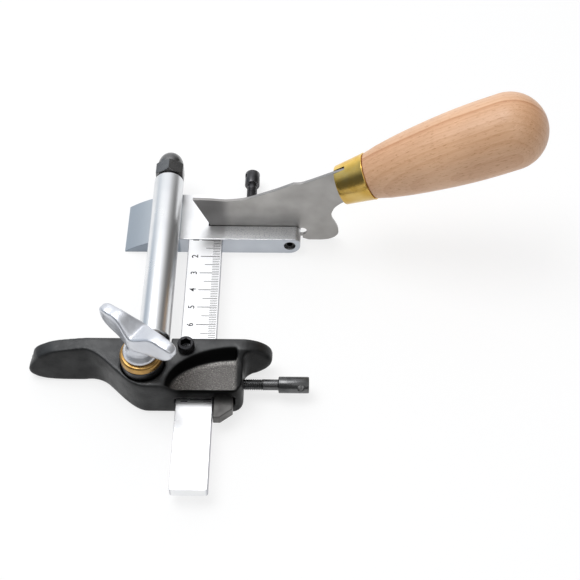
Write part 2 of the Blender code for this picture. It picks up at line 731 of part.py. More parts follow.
def fence_plan():
    # Distances forward of the guide face are drawn toward -Y
    over = CUT_OVERRUN
    guide = -FENCE_REST
    front = -FENCE_FRONT
    points = [(WING_RIGHT + over, guide), (-WING_LEFT - over, guide),
              (-WING_LEFT - over, guide - WING_THICK)]
    swell = 2 * CURVE_STEPS
    for i in range(swell + 1):
        t = i / swell
        x = -SWELL_START + (SWELL_START - SWELL_END) * t
        depth = WING_THICK + (FENCE_DEPTH - WING_THICK) * (3 * t**2 - 2 * t**3)
        points.append((x, guide - depth))
    points += arc((BLOCK_RIGHT - BLOCK_CORNER, front + BLOCK_CORNER), BLOCK_CORNER, -90, 0)
    inner = (BLOCK_RIGHT + BLOCK_FILLET, guide - WING_RIGHT_THICK - BLOCK_FILLET)
    points += arc(inner, BLOCK_FILLET, 180, 90)
    points.append((WING_RIGHT + over, guide - WING_RIGHT_THICK))
    return list(reversed(points))


def pocket_mesh():
    # A bowl with an elliptical rear wall: its plan shrinks toward the front right corner as it sinks
    corner = Vector((POCKET_RIGHT, -FENCE_FRONT + POCKET_LIP))
    levels = []
    for i in range(CURVE_STEPS + 1):
        turn = math.pi / 2 * i / CURVE_STEPS
        levels.append((POCKET_SCOOP * (1 - math.cos(turn)), POCKET_SCOOP * math.sin(turn)))
    rings = [(0, FENCE_HEIGHT + CUT_OVERRUN)]
    for inset, drop in levels:
        rings.append((inset, FENCE_HEIGHT - (FENCE_HEIGHT - POCKET_FLOOR) * drop / POCKET_SCOOP))
    work = bmesh.new()
    loops = []
    for inset, height in rings:
        width = POCKET_LENGTH - inset
        depth = POCKET_DEPTH - inset
        spots = [(corner.x, corner.y)]
        for i in range(2 * CURVE_STEPS + 1):
            turn = math.pi / 2 + math.pi / 2 * i / (2 * CURVE_STEPS)
            spots.append((corner.x + width * math.cos(turn), corner.y + depth * math.sin(turn)))
        loops.append([work.verts.new((x, y, height)) for x, y in spots])
    for upper, lower in zip(loops, loops[1:]):
        for i in range(len(upper)):
            j = (i + 1) % len(upper)
            work.faces.new((upper[i], upper[j], lower[j], lower[i]))
    work.faces.new(loops[0])
    work.faces.new(loops[-1])
    bmesh.ops.recalc_face_normals(work, faces=work.faces)
    mesh = bpy.data.meshes.new("thumb_pocket")
    work.to_mesh(mesh)
    work.free()
    return mesh


def make_fence(group, cutters, iron):
    guide = -FENCE_REST
    front = -FENCE_FRONT
    middle = (guide + front) / 2
    body = plate_mesh("fence_casting", fence_plan(), FENCE_HEIGHT, FENCE_RIM,
                      at(0, 0, FENCE_HEIGHT / 2))
    lean_wing_front(body)
    fence = put("fence_casting", body, group, iron)
    view = plate_mesh("fence_front_view", fence_front_view(), FENCE_DEPTH + 2 * CUT_OVERRUN, 0,
                      standing(middle))
    lean_wing_end(view)
    boolean(fence, as_cutter(put("fence_front_view", view, cutters)), "INTERSECT")

    cuts = [pocket_mesh()]
    left = -BAR_WIDTH / 2 - FIT_GAP
    right = GIB_RIGHT + FIT_GAP + GIB_TRAVEL
    back = guide + CUT_OVERRUN
    cuts.append(box_mesh("bar_way", (left, front - CUT_OVERRUN, BAR_LIFT - FIT_GAP),
                         (right, back, BAR_TOP + FIT_GAP)))
    arch_left = BAR_WIDTH / 2 - FIT_GAP
    arch = [(right, BAR_LIFT), (right, BAR_TOP)]
    radius = (right - arch_left) / 2
    rise = ARCH_TOP - BAR_TOP
    for i in range(CURVE_STEPS + 1):
        turn = math.pi * i / CURVE_STEPS
        arch.append((arch_left + radius + radius * math.cos(turn), BAR_TOP + rise * math.sin(turn)))
    arch.append((arch_left, BAR_LIFT))
    cuts.append(plate_mesh("gib_arch", arch, FENCE_DEPTH + 2 * CUT_OVERRUN, 0, standing(middle)))
    post_hole = FENCE_HEIGHT + CUT_OVERRUN - STUD_BASE
    cuts.append(rod_mesh("post_bore", POST_BORE, post_hole, ROUND_STEPS, at(-POST_X, POST_Y, STUD_BASE)))
    cuts.append(rod_mesh("screw_hole", SCREW_RADIUS + FIT_GAP, BLOCK_RIGHT + CUT_OVERRUN - GIB_LEFT,
                         SMALL_STEPS, at(GIB_LEFT, -(FENCE_REST + FENCE_SCREW_SET),
                                         FENCE_SCREW_HEIGHT, "+X")))
    cuts.append(rod_mesh("cap_hole", CAP_SHANK_RADIUS + FIT_GAP, FENCE_HEIGHT + CUT_OVERRUN - BAR_TOP,
                         SMALL_STEPS, at(-CAP_X, -(FENCE_REST + CAP_SET), BAR_TOP)))

    # Open-topped notch in the rear wall, wide enough for the roller's end
    lowest = SPINDLE_HEIGHT - LIFT_DOWN
    radius = ROLLER_RADIUS + 2 * FIT_GAP
    reach = POST_SET - math.sqrt(POST_RADIUS**2 - (POST_X - SPINDLE_X) ** 2)
    notch = [(-SPINDLE_X - radius, FENCE_HEIGHT + CUT_OVERRUN)]
    notch += arc((-SPINDLE_X, lowest), radius, 180, 360, 2 * CURVE_STEPS)
    notch.append((-SPINDLE_X + radius, FENCE_HEIGHT + CUT_OVERRUN))
    depth = reach + 2 * CUT_OVERRUN
    cuts.append(plate_mesh("roller_notch", notch, depth, 0,
                           standing(guide + CUT_OVERRUN - depth / 2)))
    for mesh in cuts:
        boolean(fence, as_cutter(put(mesh.name, mesh, cutters)))
    return fence


def make_gib(group, iron):
    front = -FENCE_FRONT - GIB_STICKOUT
    back = -FENCE_REST - FIT_GAP
    outline = [(GIB_LEFT, back), (GIB_LEFT, front), (GIB_RIGHT - GIB_BEVEL * GIB_BEVEL_SHARE, front),
               (GIB_RIGHT, front + GIB_BEVEL), (GIB_RIGHT, back)]
    mesh = plate_mesh("gib", outline, BAR_THICK, BAR_RIM, at(0, 0, BAR_LIFT + BAR_THICK / 2))
    return put("gib", mesh, group, iron)


def make_cap_screw(group, cutters, black):
    edge = CAP_EDGE
    top = FENCE_HEIGHT + FIT_GAP + CAP_HEAD_HEIGHT
    seat = FENCE_HEIGHT + FIT_GAP
    tip = BAR_TOP + FIT_GAP
    profile = [(0, top), (CAP_HEAD_RADIUS - edge, top), (CAP_HEAD_RADIUS, top - edge),
               (CAP_HEAD_RADIUS, seat + edge), (CAP_HEAD_RADIUS - edge, seat),
               (CAP_SHANK_RADIUS, seat), (CAP_SHANK_RADIUS, tip + edge),
               (CAP_SHANK_RADIUS - edge, tip), (0, tip)]
    screw = turned("cap_screw", profile, SMALL_STEPS, group, black)
    place = Matrix.Translation((-CAP_X, -(FENCE_REST + CAP_SET), 0))
    screw.matrix_world = place
    socket = rod_mesh("cap_socket", SOCKET_RADIUS, SOCKET_DEPTH + CUT_OVERRUN, 6,
                      at(0, 0, top - SOCKET_DEPTH))
    tool = as_cutter(put("cap_socket", socket, cutters))
    tool.matrix_world = place
    boolean(screw, tool)
    return screw


def make_stud(group, steel):
    base = STUD_BASE + FIT_GAP
    edge = STUD_EDGE
    profile = [(0, STUD_TOP), (STUD_RADIUS - edge, STUD_TOP), (STUD_RADIUS, STUD_TOP - edge),
               (STUD_RADIUS, base), (0, base)]
    stud = turned("post_stud", profile, SMALL_STEPS, group, steel)
    stud.location = (-POST_X, POST_Y, 0)
    return stud


def make_post(group, cutters, black):
    edge = POST_EDGE
    profile = [(STUD_BORE, POST_TOP), (POST_RADIUS - edge, POST_TOP),
               (POST_RADIUS, POST_TOP - edge), (POST_RADIUS, POST_BASE + edge),
               (POST_RADIUS - edge, POST_BASE), (STUD_BORE, POST_BASE)]
    post = turned("roller_post", profile, ROUND_STEPS, group, black, closed=True)
    post.location = (-POST_X, POST_Y, 0)
    length = SPINDLE_TAIL + FIT_GAP - FENCE_REST + CUT_OVERRUN
    hole = rod_mesh("spindle_hole", SPINDLE_RADIUS + FIT_GAP, length, SMALL_STEPS,
                    at(-SPINDLE_X, -SPINDLE_TAIL - FIT_GAP, SPINDLE_HEIGHT, "+Y"))
    boolean(post, as_cutter(put("spindle_hole", hole, cutters)))
    return post


def make_washer(group, brass):
    top = WASHER_BASE + WASHER_HEIGHT
    edge = WASHER_EDGE
    profile = [(STUD_BORE, top), (WASHER_RADIUS - edge, top), (WASHER_RADIUS, top - edge),
               (WASHER_RADIUS, WASHER_BASE), (STUD_BORE, WASHER_BASE)]
    washer = turned("brass_washer", profile, ROUND_STEPS, group, brass, closed=True)
    washer.location = (-POST_X, POST_Y, 0)
    return washer


def make_wing_nut(group, cutters, chrome):
    profile = [(0, HUB_HEIGHT)]
    profile += [(wide * HUB_RADIUS, up * HUB_HEIGHT) for wide, up in HUB_SHARES]
    profile.append((0, 0))
    nut = turned("wing_nut", profile, ROUND_STEPS, group, chrome)
    nut.matrix_world = (Matrix.Translation((-POST_X, POST_Y, NUT_BASE))
                        @ Matrix.Rotation(math.radians(WING_TURN_DEG), 4, "Z"))
    half = [(x * WING_SPAN / 2, z * WING_RISE)
            for x, z in smooth_run(WING_FOOT_SHARES, 2) + smooth_run(WING_CROWN_SHARES, 2)[1:]]
    # The last point of one half and its mirror image meet at the middle
    shape = half + [(-x, z) for x, z in reversed(half[1:-1])]
    plate = plate_mesh("wing_bar", shape, WING_BAR, WING_BAR_RIM, standing(0))
    wing = as_cutter(put("wing_bar", plate, cutters))
    wing.matrix_world = nut.matrix_world
    boolean(nut, wing, "UNION", "MANIFOLD")
    bore = rod_mesh("stud_bore", STUD_BORE, HUB_BORE_DEPTH + CUT_OVERRUN, SMALL_STEPS,
                    at(0, 0, -CUT_OVERRUN))
    tool = as_cutter(put("stud_bore", bore, cutters))
    tool.matrix_world = nut.matrix_world
    boolean(nut, tool, solver="MANIFOLD")
    return nut


def make_spring(group, steel):
    # One unbroken tube: a flat turn at each end and climbing turns between
    low = STUD_BASE + FIT_GAP + SPRING_WIRE
    high = POST_BASE - FIT_GAP - SPRING_WIRE
    count = SPRING_TURNS * SPRING_CURL_POINTS
    spots = []
    for i in range(count + 1):
        turn = 2 * math.pi * i / SPRING_CURL_POINTS
        height = low + (high - low) * i / count
        spots.append(Vector((SPRING_RADIUS * math.cos(turn), SPRING_RADIUS * math.sin(turn), height)))
    far = SPRING_CURL_POINTS // 2
    gap = min((spots[i] - spots[j]).length
              for i in range(count) for j in range(i + far, count)) - 2 * SPRING_WIRE
    print("spring least gap to itself", round(gap, 5), "wanted over", SPRING_LEAST_GAP)
    curve = bpy.data.curves.new("lift_spring", "CURVE")
    curve.dimensions = "3D"
    curve.bevel_depth = SPRING_WIRE
    curve.bevel_resolution = 1
    curve.use_fill_caps = True
    line = curve.splines.new("POLY")
    line.points.add(count)
    for point, spot in zip(line.points, spots):
        point.co = (*spot, 1)
    spring = bpy.data.objects.new("lift_spring", curve)
    spring.data.materials.append(steel)
    group.objects.link(spring)
    spring.location = (-POST_X, POST_Y, 0)
    return spring


def make_spindle(group, steel):
    edge = SPINDLE_EDGE
    end = NUT_SEAT + DOME_BORE_DEPTH - 2 * FIT_GAP
    length = SPINDLE_TAIL + end
    profile = [(0, length), (SPINDLE_RADIUS - edge, length), (SPINDLE_RADIUS, length - edge),
               (SPINDLE_RADIUS, edge), (SPINDLE_RADIUS - edge, 0), (0, 0)]
    spindle = turned("roller_spindle", profile, SMALL_STEPS, group, steel)
    spindle.matrix_world = at(-SPINDLE_X, -SPINDLE_TAIL, SPINDLE_HEIGHT, "+Y")
    return spindle


def tube(name, inner, outer, start, length, edge, group, material):
    profile = [(inner, length), (outer - edge, length), (outer, length - edge),
               (outer, edge), (outer - edge, 0), (inner, 0)]
    item = turned(name, profile, ROUND_STEPS, group, material, closed=True)
    item.matrix_world = at(-SPINDLE_X, start, SPINDLE_HEIGHT, "+Y")
    return item


def make_roller_set(group, materials):
    start = -ROLLER_START
    tube("roller", ROLLER_BORE, ROLLER_RADIUS, start, ROLLER_START + ROLLER_END, ROLLER_EDGE,
         group, materials["satin"])
    bore = SPINDLE_RADIUS + FIT_GAP
    fit = ROLLER_BORE - FIT_GAP
    edge = FIT_GAP
    tube("roller_bush_near", bore, fit, start + FIT_GAP, BUSH_LENGTH, edge, group,
         materials["bronze"])
    tube("roller_bush_far", bore, fit, ROLLER_END - FIT_GAP - BUSH_LENGTH, BUSH_LENGTH, edge,
         group, materials["bronze"])
    spacer_start = POST_Y + POST_RADIUS + FIT_GAP
    tube("roller_spacer", bore, SPACER_RADIUS, spacer_start, start - FIT_GAP - spacer_start, edge,
         group, materials["satin"])
    tube("thrust_washer", bore, THRUST_RADIUS, ROLLER_END + FIT_GAP, THRUST_HEIGHT, edge,
         group, materials["black"])


def make_dome_nut(group, cutters, black):
    # A turned body with a domed end, cut to six flats below the dome
    corner = DOME_FLATS / 2 / math.cos(math.pi / 6)
    edge = corner - DOME_FLATS / 2
    profile = [(0, DOME_HEIGHT)]
    cap = DOME_HEIGHT - DOME_HEX_HEIGHT
    for i in range(1, CURVE_STEPS + 1):
        turn = math.pi / 2 * (1 - i / CURVE_STEPS)
        profile.append((DOME_BASE_RADIUS * math.cos(turn), DOME_HEX_HEIGHT + cap * math.sin(turn)))
    profile += [(corner, DOME_HEX_HEIGHT - edge), (corner, edge), (DOME_FLATS / 2, 0), (0, 0)]
    nut = turned("acorn_nut", profile, ROUND_STEPS, group, black)
    place = at(-SPINDLE_X, NUT_SEAT, SPINDLE_HEIGHT, "+Y")
    nut.matrix_world = place
    hexagon = rod_mesh("nut_flats", corner, DOME_HEIGHT + 2 * CUT_OVERRUN, 6, at(0, 0, -CUT_OVERRUN))
    flats = as_cutter(put("nut_flats", hexagon, cutters))
    flats.matrix_world = place
    boolean(nut, flats, "INTERSECT")
    bore = rod_mesh("nut_bore", SPINDLE_RADIUS + FIT_GAP, DOME_BORE_DEPTH + CUT_OVERRUN, SMALL_STEPS,
                    at(0, 0, -CUT_OVERRUN))
    tool = as_cutter(put("nut_bore", bore, cutters))
    tool.matrix_world = place
    boolean(nut, tool)
    return nut


def main():
    clear_scene()
    group = new_collection("strap_cutter")
    cutters = new_collection("cutters")
    materials = {
        "bright": make_material("bright_steel", (0.82, 0.83, 0.85), 0.25, 1.0),
        "satin": make_material("satin_steel", (0.72, 0.74, 0.77), 0.30, 1.0),
        "blade": make_material("blade_steel", (0.50, 0.48, 0.46), 0.35, 1.0),
        "chrome": make_material("chrome", (0.88, 0.89, 0.91), 0.10, 1.0),
        "brass": make_material("brass", (0.80, 0.58, 0.20), 0.22, 1.0),
        "bronze": make_material("bronze", (0.62, 0.42, 0.22), 0.40, 1.0),
        "black": make_material("black_oxide", (0.03, 0.03, 0.035), 0.35, 0.9),
        "iron": make_material("black_casting", (0.045, 0.045, 0.05), 0.45, 0.4),
        "wood": make_material("beech", (0.76, 0.54, 0.36), 0.45, 0.0),
    }
    make_bar(group, cutters, materials["bright"])
    make_head(group, cutters, materials["bright"])
    make_dowels(group, materials["satin"])
    make_grub_screw(group, cutters, materials["black"])
    make_head_screw(group, cutters, materials["black"])
    make_knife(group, cutters, materials["blade"])
    make_ferrule(group, cutters, materials["brass"])
    make_handle(group, cutters, materials["wood"])
    make_fence(group, cutters, materials["iron"])
    make_gib(group, materials["iron"])
    make_fence_screw(group, cutters, materials["black"])
    make_cap_screw(group, cutters, materials["black"])
    make_stud(group, materials["satin"])
    make_post(group, cutters, materials["black"])
    make_washer(group, materials["brass"])
    make_wing_nut(group, cutters, materials["chrome"])
    make_spring(group, materials["satin"])
    make_spindle(group, materials["satin"])
    make_roller_set(group, materials)
    make_dome_nut(group, cutters, materials["black"])
    bpy.context.view_layer.update()


main()
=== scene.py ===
# Strap cutter: finishes, fine shapes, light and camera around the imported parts. Metres, +Z up.

import json
import math

import bmesh
import bpy
from mathutils import Matrix, Vector


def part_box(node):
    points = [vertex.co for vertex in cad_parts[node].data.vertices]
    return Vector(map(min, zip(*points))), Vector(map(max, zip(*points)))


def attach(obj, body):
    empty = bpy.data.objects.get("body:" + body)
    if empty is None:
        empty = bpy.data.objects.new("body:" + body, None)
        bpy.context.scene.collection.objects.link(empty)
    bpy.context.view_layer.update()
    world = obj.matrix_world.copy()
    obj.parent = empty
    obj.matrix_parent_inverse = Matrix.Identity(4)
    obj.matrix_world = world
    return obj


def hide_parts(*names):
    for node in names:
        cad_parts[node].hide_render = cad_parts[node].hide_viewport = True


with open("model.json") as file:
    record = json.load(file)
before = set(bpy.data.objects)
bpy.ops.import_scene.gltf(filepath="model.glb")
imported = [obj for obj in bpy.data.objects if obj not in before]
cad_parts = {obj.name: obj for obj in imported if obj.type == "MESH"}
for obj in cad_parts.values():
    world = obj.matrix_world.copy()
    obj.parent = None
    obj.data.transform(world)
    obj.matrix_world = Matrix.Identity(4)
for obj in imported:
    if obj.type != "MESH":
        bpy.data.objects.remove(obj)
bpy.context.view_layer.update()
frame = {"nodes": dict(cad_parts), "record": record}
nodes = frame["nodes"]
bodyOf = {node: body for body, held in frame["record"]["behaviour"]["bodies"].items() for node in held}
mm = 0.001
white = (1, 1, 1)
print("frame loaded:", len(nodes), "nodes")


def metres(**sizes):
    # Lengths are written in millimetres and kept in metres
    return {name: tuple(part * mm for part in size) if isinstance(size, tuple) else size * mm
            for name, size in sizes.items()}


def configured(thing, **settings):
    for name, value in settings.items():
        setattr(thing, name, value)
    return thing


# Shader nodes

def feed(tree, sockets, values):
    # Each socket takes a link from another socket, or a plain value
    for label, value in values.items():
        socket = sockets[label]
        if isinstance(value, bpy.types.NodeSocket):
            tree.links.new(value, socket)
        else:
            socket.default_value = (*value, 1) if socket.type == "RGBA" else value


def addNode(tree, kind, inputs, **settings):
    node = configured(tree.nodes.new(kind), **settings)
    feed(tree, node.inputs, inputs)
    return node


def mathNode(tree, operation, *values, clamp=False):
    inputs = dict(enumerate(values))
    return addNode(tree, "ShaderNodeMath", inputs, operation=operation, use_clamp=clamp).outputs[0]


def rangeNode(tree, value, fromMin, fromMax, toMin=0, toMax=1):
    inputs = {"Value": value, "From Min": fromMin, "From Max": fromMax, "To Min": toMin, "To Max": toMax}
    return addNode(tree, "ShaderNodeMapRange", inputs).outputs[0]


def splitNode(tree, vector, axis):
    return addNode(tree, "ShaderNodeSeparateXYZ", {0: vector}).outputs[axis]


def mixValue(tree, factor, low, high):
    return addNode(tree, "ShaderNodeMix", {0: factor, 2: low, 3: high}).outputs[0]


def mixColor(tree, factor, low, high, blend="MIX"):
    inputs = {0: factor, 6: low, 7: high}
    return addNode(tree, "ShaderNodeMix", inputs, data_type="RGBA", blend_type=blend).outputs[2]


def tinted(tree, color, mask, tone):
    # Multiplies a tone into the colour where the mask is on
    return mixColor(tree, mask, color, tone, "MULTIPLY")


def colorBand(tree, value, stops):
    # Runs through (place, colour) stops
    band = addNode(tree, "ShaderNodeValToRGB", {"Fac": value})
    marks = band.color_ramp.elements
    for i, (spot, color) in enumerate(stops):
        mark = marks[i] if i < 2 else marks.new(spot)
        mark.position = spot
        mark.color = (*color, 1)
    return band.outputs["Color"]


def mixShaders(tree, sink, factor, low, high):
    mix = addNode(tree, "ShaderNodeMixShader", {0: factor, 1: low.outputs[0], 2: high.outputs[0]})
    feed(tree, tree.nodes[sink].inputs, {"Surface": mix.outputs[0]})


def startGroup(name, inputs, outputs, kind="ShaderNodeTree"):
    tree = bpy.data.node_groups.new(name, kind)
    for label, socketKind, *value in inputs:
        socket = tree.interface.new_socket(label, in_out="INPUT", socket_type="NodeSocket" + socketKind)
        if value:
            socket.default_value = value[0]
    for label, socketKind in outputs:
        tree.interface.new_socket(label, in_out="OUTPUT", socket_type="NodeSocket" + socketKind)
    return tree, tree.nodes.new("NodeGroupInput").outputs, tree.nodes.new("NodeGroupOutput").inputs


def grainGroup():
    # Noise that can be drawn out along an axis, for grinding lines, cast skin and fibres
    tree, given, result = startGroup(
        "surfaceGrain",
        [("Vector", "Vector"), ("Stretch", "Vector", (1, 1, 1)), ("Scale", "Float"), ("Detail", "Float", 3),
         ("Low", "Float", 0.35), ("High", "Float", 0.65)],
        [("Value", "Float")])
    drawn = addNode(tree, "ShaderNodeVectorMath", {0: given["Vector"], 1: given["Stretch"]},
                    operation="MULTIPLY").outputs[0]
    noise = addNode(tree, "ShaderNodeTexNoise",
                    {"Vector": drawn, "Scale": given["Scale"], "Detail": given["Detail"]}).outputs[0]
    feed(tree, result, {"Value": rangeNode(tree, noise, given["Low"], given["High"])})
    return tree


def toneGroup():
    # Two colours mixed by a soft pattern, with a matching spread of roughness
    tree, given, result = startGroup(
        "toneAndGloss",
        [("Vector", "Vector"), ("Scale", "Float"), ("Dark", "Color"), ("Light", "Color"),
         ("Smooth", "Float"), ("Rough", "Float")],
        [("Color", "Color"), ("Roughness", "Float")])
    noise = addNode(tree, "ShaderNodeTexNoise",
                    {"Vector": given["Vector"], "Scale": given["Scale"], "Detail": 4}).outputs[0]
    spread = rangeNode(tree, noise, 0.3, 0.7)
    feed(tree, result, {"Color": mixColor(tree, spread, given["Dark"], given["Light"]),
                        "Roughness": mixValue(tree, spread, given["Rough"], given["Smooth"])})
    return tree


surfaceGrain = grainGroup()
toneAndGloss = toneGroup()


def grainValue(tree, vector, look):
    return addNode(tree, "ShaderNodeGroup", {"Vector": vector, **look}, node_tree=surfaceGrain).outputs[0]


def tonePattern(tree, vector, look):
    # Gives the sockets Color and Roughness
    inputs = {"Vector": vector, "Scale": look["toneScale"], "Dark": look["dark"], "Light": look["light"],
              "Smooth": look["smooth"], "Rough": look["rough"]}
    return addNode(tree, "ShaderNodeGroup", inputs, node_tree=toneAndGloss).outputs


def attributeMask(tree, name):
    return addNode(tree, "ShaderNodeAttribute", {}, attribute_name=name).outputs["Fac"]


def edgeMask(tree, place, ends):
    # 0 before the first end and 1 after the second, along X
    return rangeNode(tree, splitNode(tree, place, "X"), *ends)


def facing(tree, axis):
    return splitNode(tree, tree.nodes.new("ShaderNodeNewGeometry").outputs["Normal"], axis)


def facingTint(tree, color, axis, way, tone):
    # Paints shade by direction: the tone darkens faces that look along this axis, or against it where way is
    # -1
    return tinted(tree, color, mathNode(tree, "MULTIPLY", facing(tree, axis), way, clamp=True), tone)


def startMaterial(name):
    material = configured(bpy.data.materials.new(name), use_nodes=True)
    tree = material.node_tree
    place = tree.nodes.new("ShaderNodeTexCoord").outputs["Object"]
    return material, tree, tree.nodes["Principled BSDF"].inputs, place


def finishShader(tree, shader, color, rough, metal, height, depth):
    bump = addNode(tree, "ShaderNodeBump", {"Strength": 1, "Distance": depth, "Height": height})
    feed(tree, shader, {"Base Color": color, "Roughness": rough, "Metallic": metal,
                        "Normal": bump.outputs[0]})


# Metal finishes, each laid over the plain one

plainMetal = {"metal": 1, "depth": 0.01 * mm, "grain": {"Scale": 2600}, "shadeTints": ()}
metalFinishes = {
    "barSteel": {"dark": (0.84, 0.85, 0.86), "light": (0.95, 0.95, 0.955), "toneScale": 60,
                 "smooth": 0.24, "rough": 0.36, "depth": 0.004 * mm,
                 "grain": {"Stretch": (1, 0.03, 1), "Scale": 4000, "Detail": 2},
                 # painted shade: the bar's side faces are darkened by the way they face
                 "shadeTints": [("X", -1, (0.34, 0.34, 0.39)), ("X", 1, (0.42, 0.43, 0.47))]},
    "rollerSteel": {"dark": (0.76, 0.78, 0.80), "light": (0.88, 0.89, 0.90), "toneScale": 40,
                    "smooth": 0.25, "rough": 0.34, "depth": 0.005 * mm,
                    "grain": {"Stretch": (0.05, 1, 0.05), "Scale": 2500}},
    "turnedSteel": {"dark": (0.62, 0.63, 0.65), "light": (0.74, 0.75, 0.77), "toneScale": 80,
                    "smooth": 0.25, "rough": 0.38, "depth": 0.004 * mm, "grain": {"Scale": 3500}},
    "chromePlate": {"dark": (0.62, 0.64, 0.69), "light": (0.75, 0.77, 0.81), "toneScale": 90,
                    "smooth": 0.27, "rough": 0.36, "depth": 0.03 * mm, "grain": {"Scale": 450},
                    "metal": 0.72},
    "ferruleBrass": {"dark": (0.82, 0.52, 0.09), "light": (0.99, 0.72, 0.24), "toneScale": 120,
                     "smooth": 0.16, "rough": 0.30, "grain": {"Stretch": (1, 0.15, 1), "Scale": 1500},
                     # painted shade: faces of the ferrule that look toward the front are darkened
                     "shadeTints": [("Y", -1, (0.60, 0.58, 0.60))]},
    "washerBrass": {"dark": (0.34, 0.19, 0.06), "light": (0.52, 0.32, 0.11), "toneScale": 200,
                    "smooth": 0.22, "rough": 0.40, "grain": {"Scale": 1500}},
    "bushBronze": {"dark": (0.40, 0.24, 0.12), "light": (0.58, 0.38, 0.20), "toneScale": 300,
                   "smooth": 0.30, "rough": 0.50, "grain": {"Scale": 2500}},
    "blackOxide": {"dark": (0.060, 0.060, 0.064), "light": (0.105, 0.103, 0.107), "toneScale": 260,
                   "smooth": 0.24, "rough": 0.38},
    "nutOxide": {"dark": (0.14, 0.14, 0.143), "light": (0.24, 0.24, 0.242), "toneScale": 200,
                 "smooth": 0.22, "rough": 0.34},
    "screwOxide": {"dark": (0.085, 0.086, 0.088), "light": (0.145, 0.146, 0.148), "toneScale": 260,
                   "smooth": 0.22, "rough": 0.34},
    "capOxide": {"dark": (0.026, 0.026, 0.028), "light": (0.050, 0.050, 0.053), "toneScale": 260,
                 "smooth": 0.20, "rough": 0.34},
    "gibIron": {"dark": (0.105, 0.102, 0.099), "light": (0.165, 0.161, 0.157), "toneScale": 220,
                "smooth": 0.34, "rough": 0.50, "depth": 0.02 * mm, "grain": {"Scale": 1800, "Detail": 4},
                "metal": 0.6},
}


def metalMaterial(name, look):
    look = {**plainMetal, **look}
    material, tree, shader, place = startMaterial(name)
    tone = tonePattern(tree, place, look)
    color = tone["Color"]
    # painted shade on faces by the way they face, one tone per axis
    for tint in look["shadeTints"]:
        color = facingTint(tree, color, *tint)
    grain = grainValue(tree, place, look["grain"])
    finishShader(tree, shader, color, tone["Roughness"], look["metal"], grain, look["depth"])
    return material


finishes = {name: metalMaterial(name, look) for name, look in metalFinishes.items()}


# Mesh helpers

meshLook = {"flat": 0.5, "corner": 35, "bevelSteps": 3, **metres(weld=0.002, seam=0.001)}
turnTo = {"X": Matrix.Rotation(math.pi / 2, 4, "Y"), "Y": Matrix.Rotation(-math.pi / 2, 4, "X"),
          "Z": Matrix.Identity(4)}


def ramp(value, start, end):
    return min(1, max(0, (value - start) / (end - start)))


def addObject(name, data, place=(0, 0, 0), turn=(0, 0, 0)):
    item = configured(bpy.data.objects.new(name, data), location=place, rotation_euler=turn)
    bpy.context.scene.collection.objects.link(item)
    return item


def paint(item, material):
    item.data.materials.clear()
    item.data.materials.append(material)


def putObject(name, mesh, material):
    item = addObject(name, mesh)
    paint(item, material)
    return item


def meshFrom(name, work, place=None):
    if place is not None:
        bmesh.ops.transform(work, matrix=place, verts=work.verts)
    mesh = bpy.data.meshes.new(name)
    work.to_mesh(mesh)
    work.free()
    return mesh


def evaluatedMesh(item):
    bpy.context.view_layer.update()
    return bpy.data.meshes.new_from_object(item.evaluated_get(bpy.context.evaluated_depsgraph_get()))


def applied(item):
    # The evaluated shape replaces the mesh and the modifiers go
    mesh = evaluatedMesh(item)
    item.modifiers.clear()
    item.data = mesh
    return item


def modified(item, kind, **settings):
    configured(item.modifiers.new(kind, kind), **settings)
    return applied(item)


def smoothShade(item, angle=meshLook["corner"]):
    item.data.shade_smooth()
    item.data.set_sharp_from_angle(angle=math.radians(angle))


def finishPiece(item, node):
    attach(item, bodyOf[node])
    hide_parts(node)


def mergedCopy(node, name, material):
    work = bmesh.new()
    work.from_mesh(nodes[node].data)
    bmesh.ops.remove_doubles(work, verts=work.verts, dist=meshLook["weld"])
    bmesh.ops.dissolve_limit(work, angle_limit=math.radians(meshLook["flat"]), verts=work.verts,
                             edges=work.edges)
    return putObject(name, meshFrom(name, work), material)


def softCopy(node, name, material, bevel):
    # The node's own shape with its edges rounded and its flats left flat
    item = mergedCopy(node, name, material)
    item.data.shade_smooth()
    configured(item.modifiers.new("edges", "BEVEL"), width=bevel, segments=meshLook["bevelSteps"],
               limit_method="ANGLE", angle_limit=math.radians(meshLook["corner"]), use_clamp_overlap=True)
    modified(item, "WEIGHTED_NORMAL", mode="FACE_AREA")
    finishPiece(item, node)


def loftMesh(name, loops, place):
    # Skins closed loops of points; a loop of one point closes an end
    work = bmesh.new()
    rows = [[work.verts.new(spot) for spot in loop] for loop in loops]
    for lower, upper in zip(rows, rows[1:]):
        steps = max(len(lower), len(upper))
        for i in range(steps):
            j = (i + 1) % steps
            if len(lower) == 1:
                work.faces.new((lower[0], upper[j], upper[i]))
            elif len(upper) == 1:
                work.faces.new((lower[i], lower[j], upper[0]))
            else:
                work.faces.new((lower[i], lower[j], upper[j], upper[i]))
    if len(rows[0]) > 1:
        bmesh.ops.remove_doubles(work, verts=rows[0] + rows[-1], dist=meshLook["seam"])
    bmesh.ops.recalc_face_normals(work, faces=work.faces)
    return meshFrom(name, work, place)


def shellMesh(name, rings, steps, place):
    # Rings of (height, radius or radius by angle); a radius of 0 closes the end
    loops = []
    for height, radius in rings:
        if radius == 0:
            loops.append([(0, 0, height)])
            continue
        loop = []
        for i in range(steps):
            turn = 2 * math.pi * i / steps
            size = radius(turn) if callable(radius) else radius
            loop.append((size * math.cos(turn), size * math.sin(turn), height))
        loops.append(loop)
    return loftMesh(name, loops, place)


def boxPlace(node, axis):
    # The middle of the low end of a node's box, facing along the axis, and the size of the box
    low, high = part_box(node)
    spot = (low + high) / 2
    i = "XYZ".index(axis)
    spot[i] = low[i]
    return Matrix.Translation(spot) @ turnTo[axis], [end - start for start, end in zip(low, high)]


def turnedPiece(name, node, rings, place, finish, steps=96, angle=meshLook["corner"]):
    item = putObject(name, shellMesh(name, rings, steps, place), finishes[finish])
    smoothShade(item, angle)
    finishPiece(item, node)


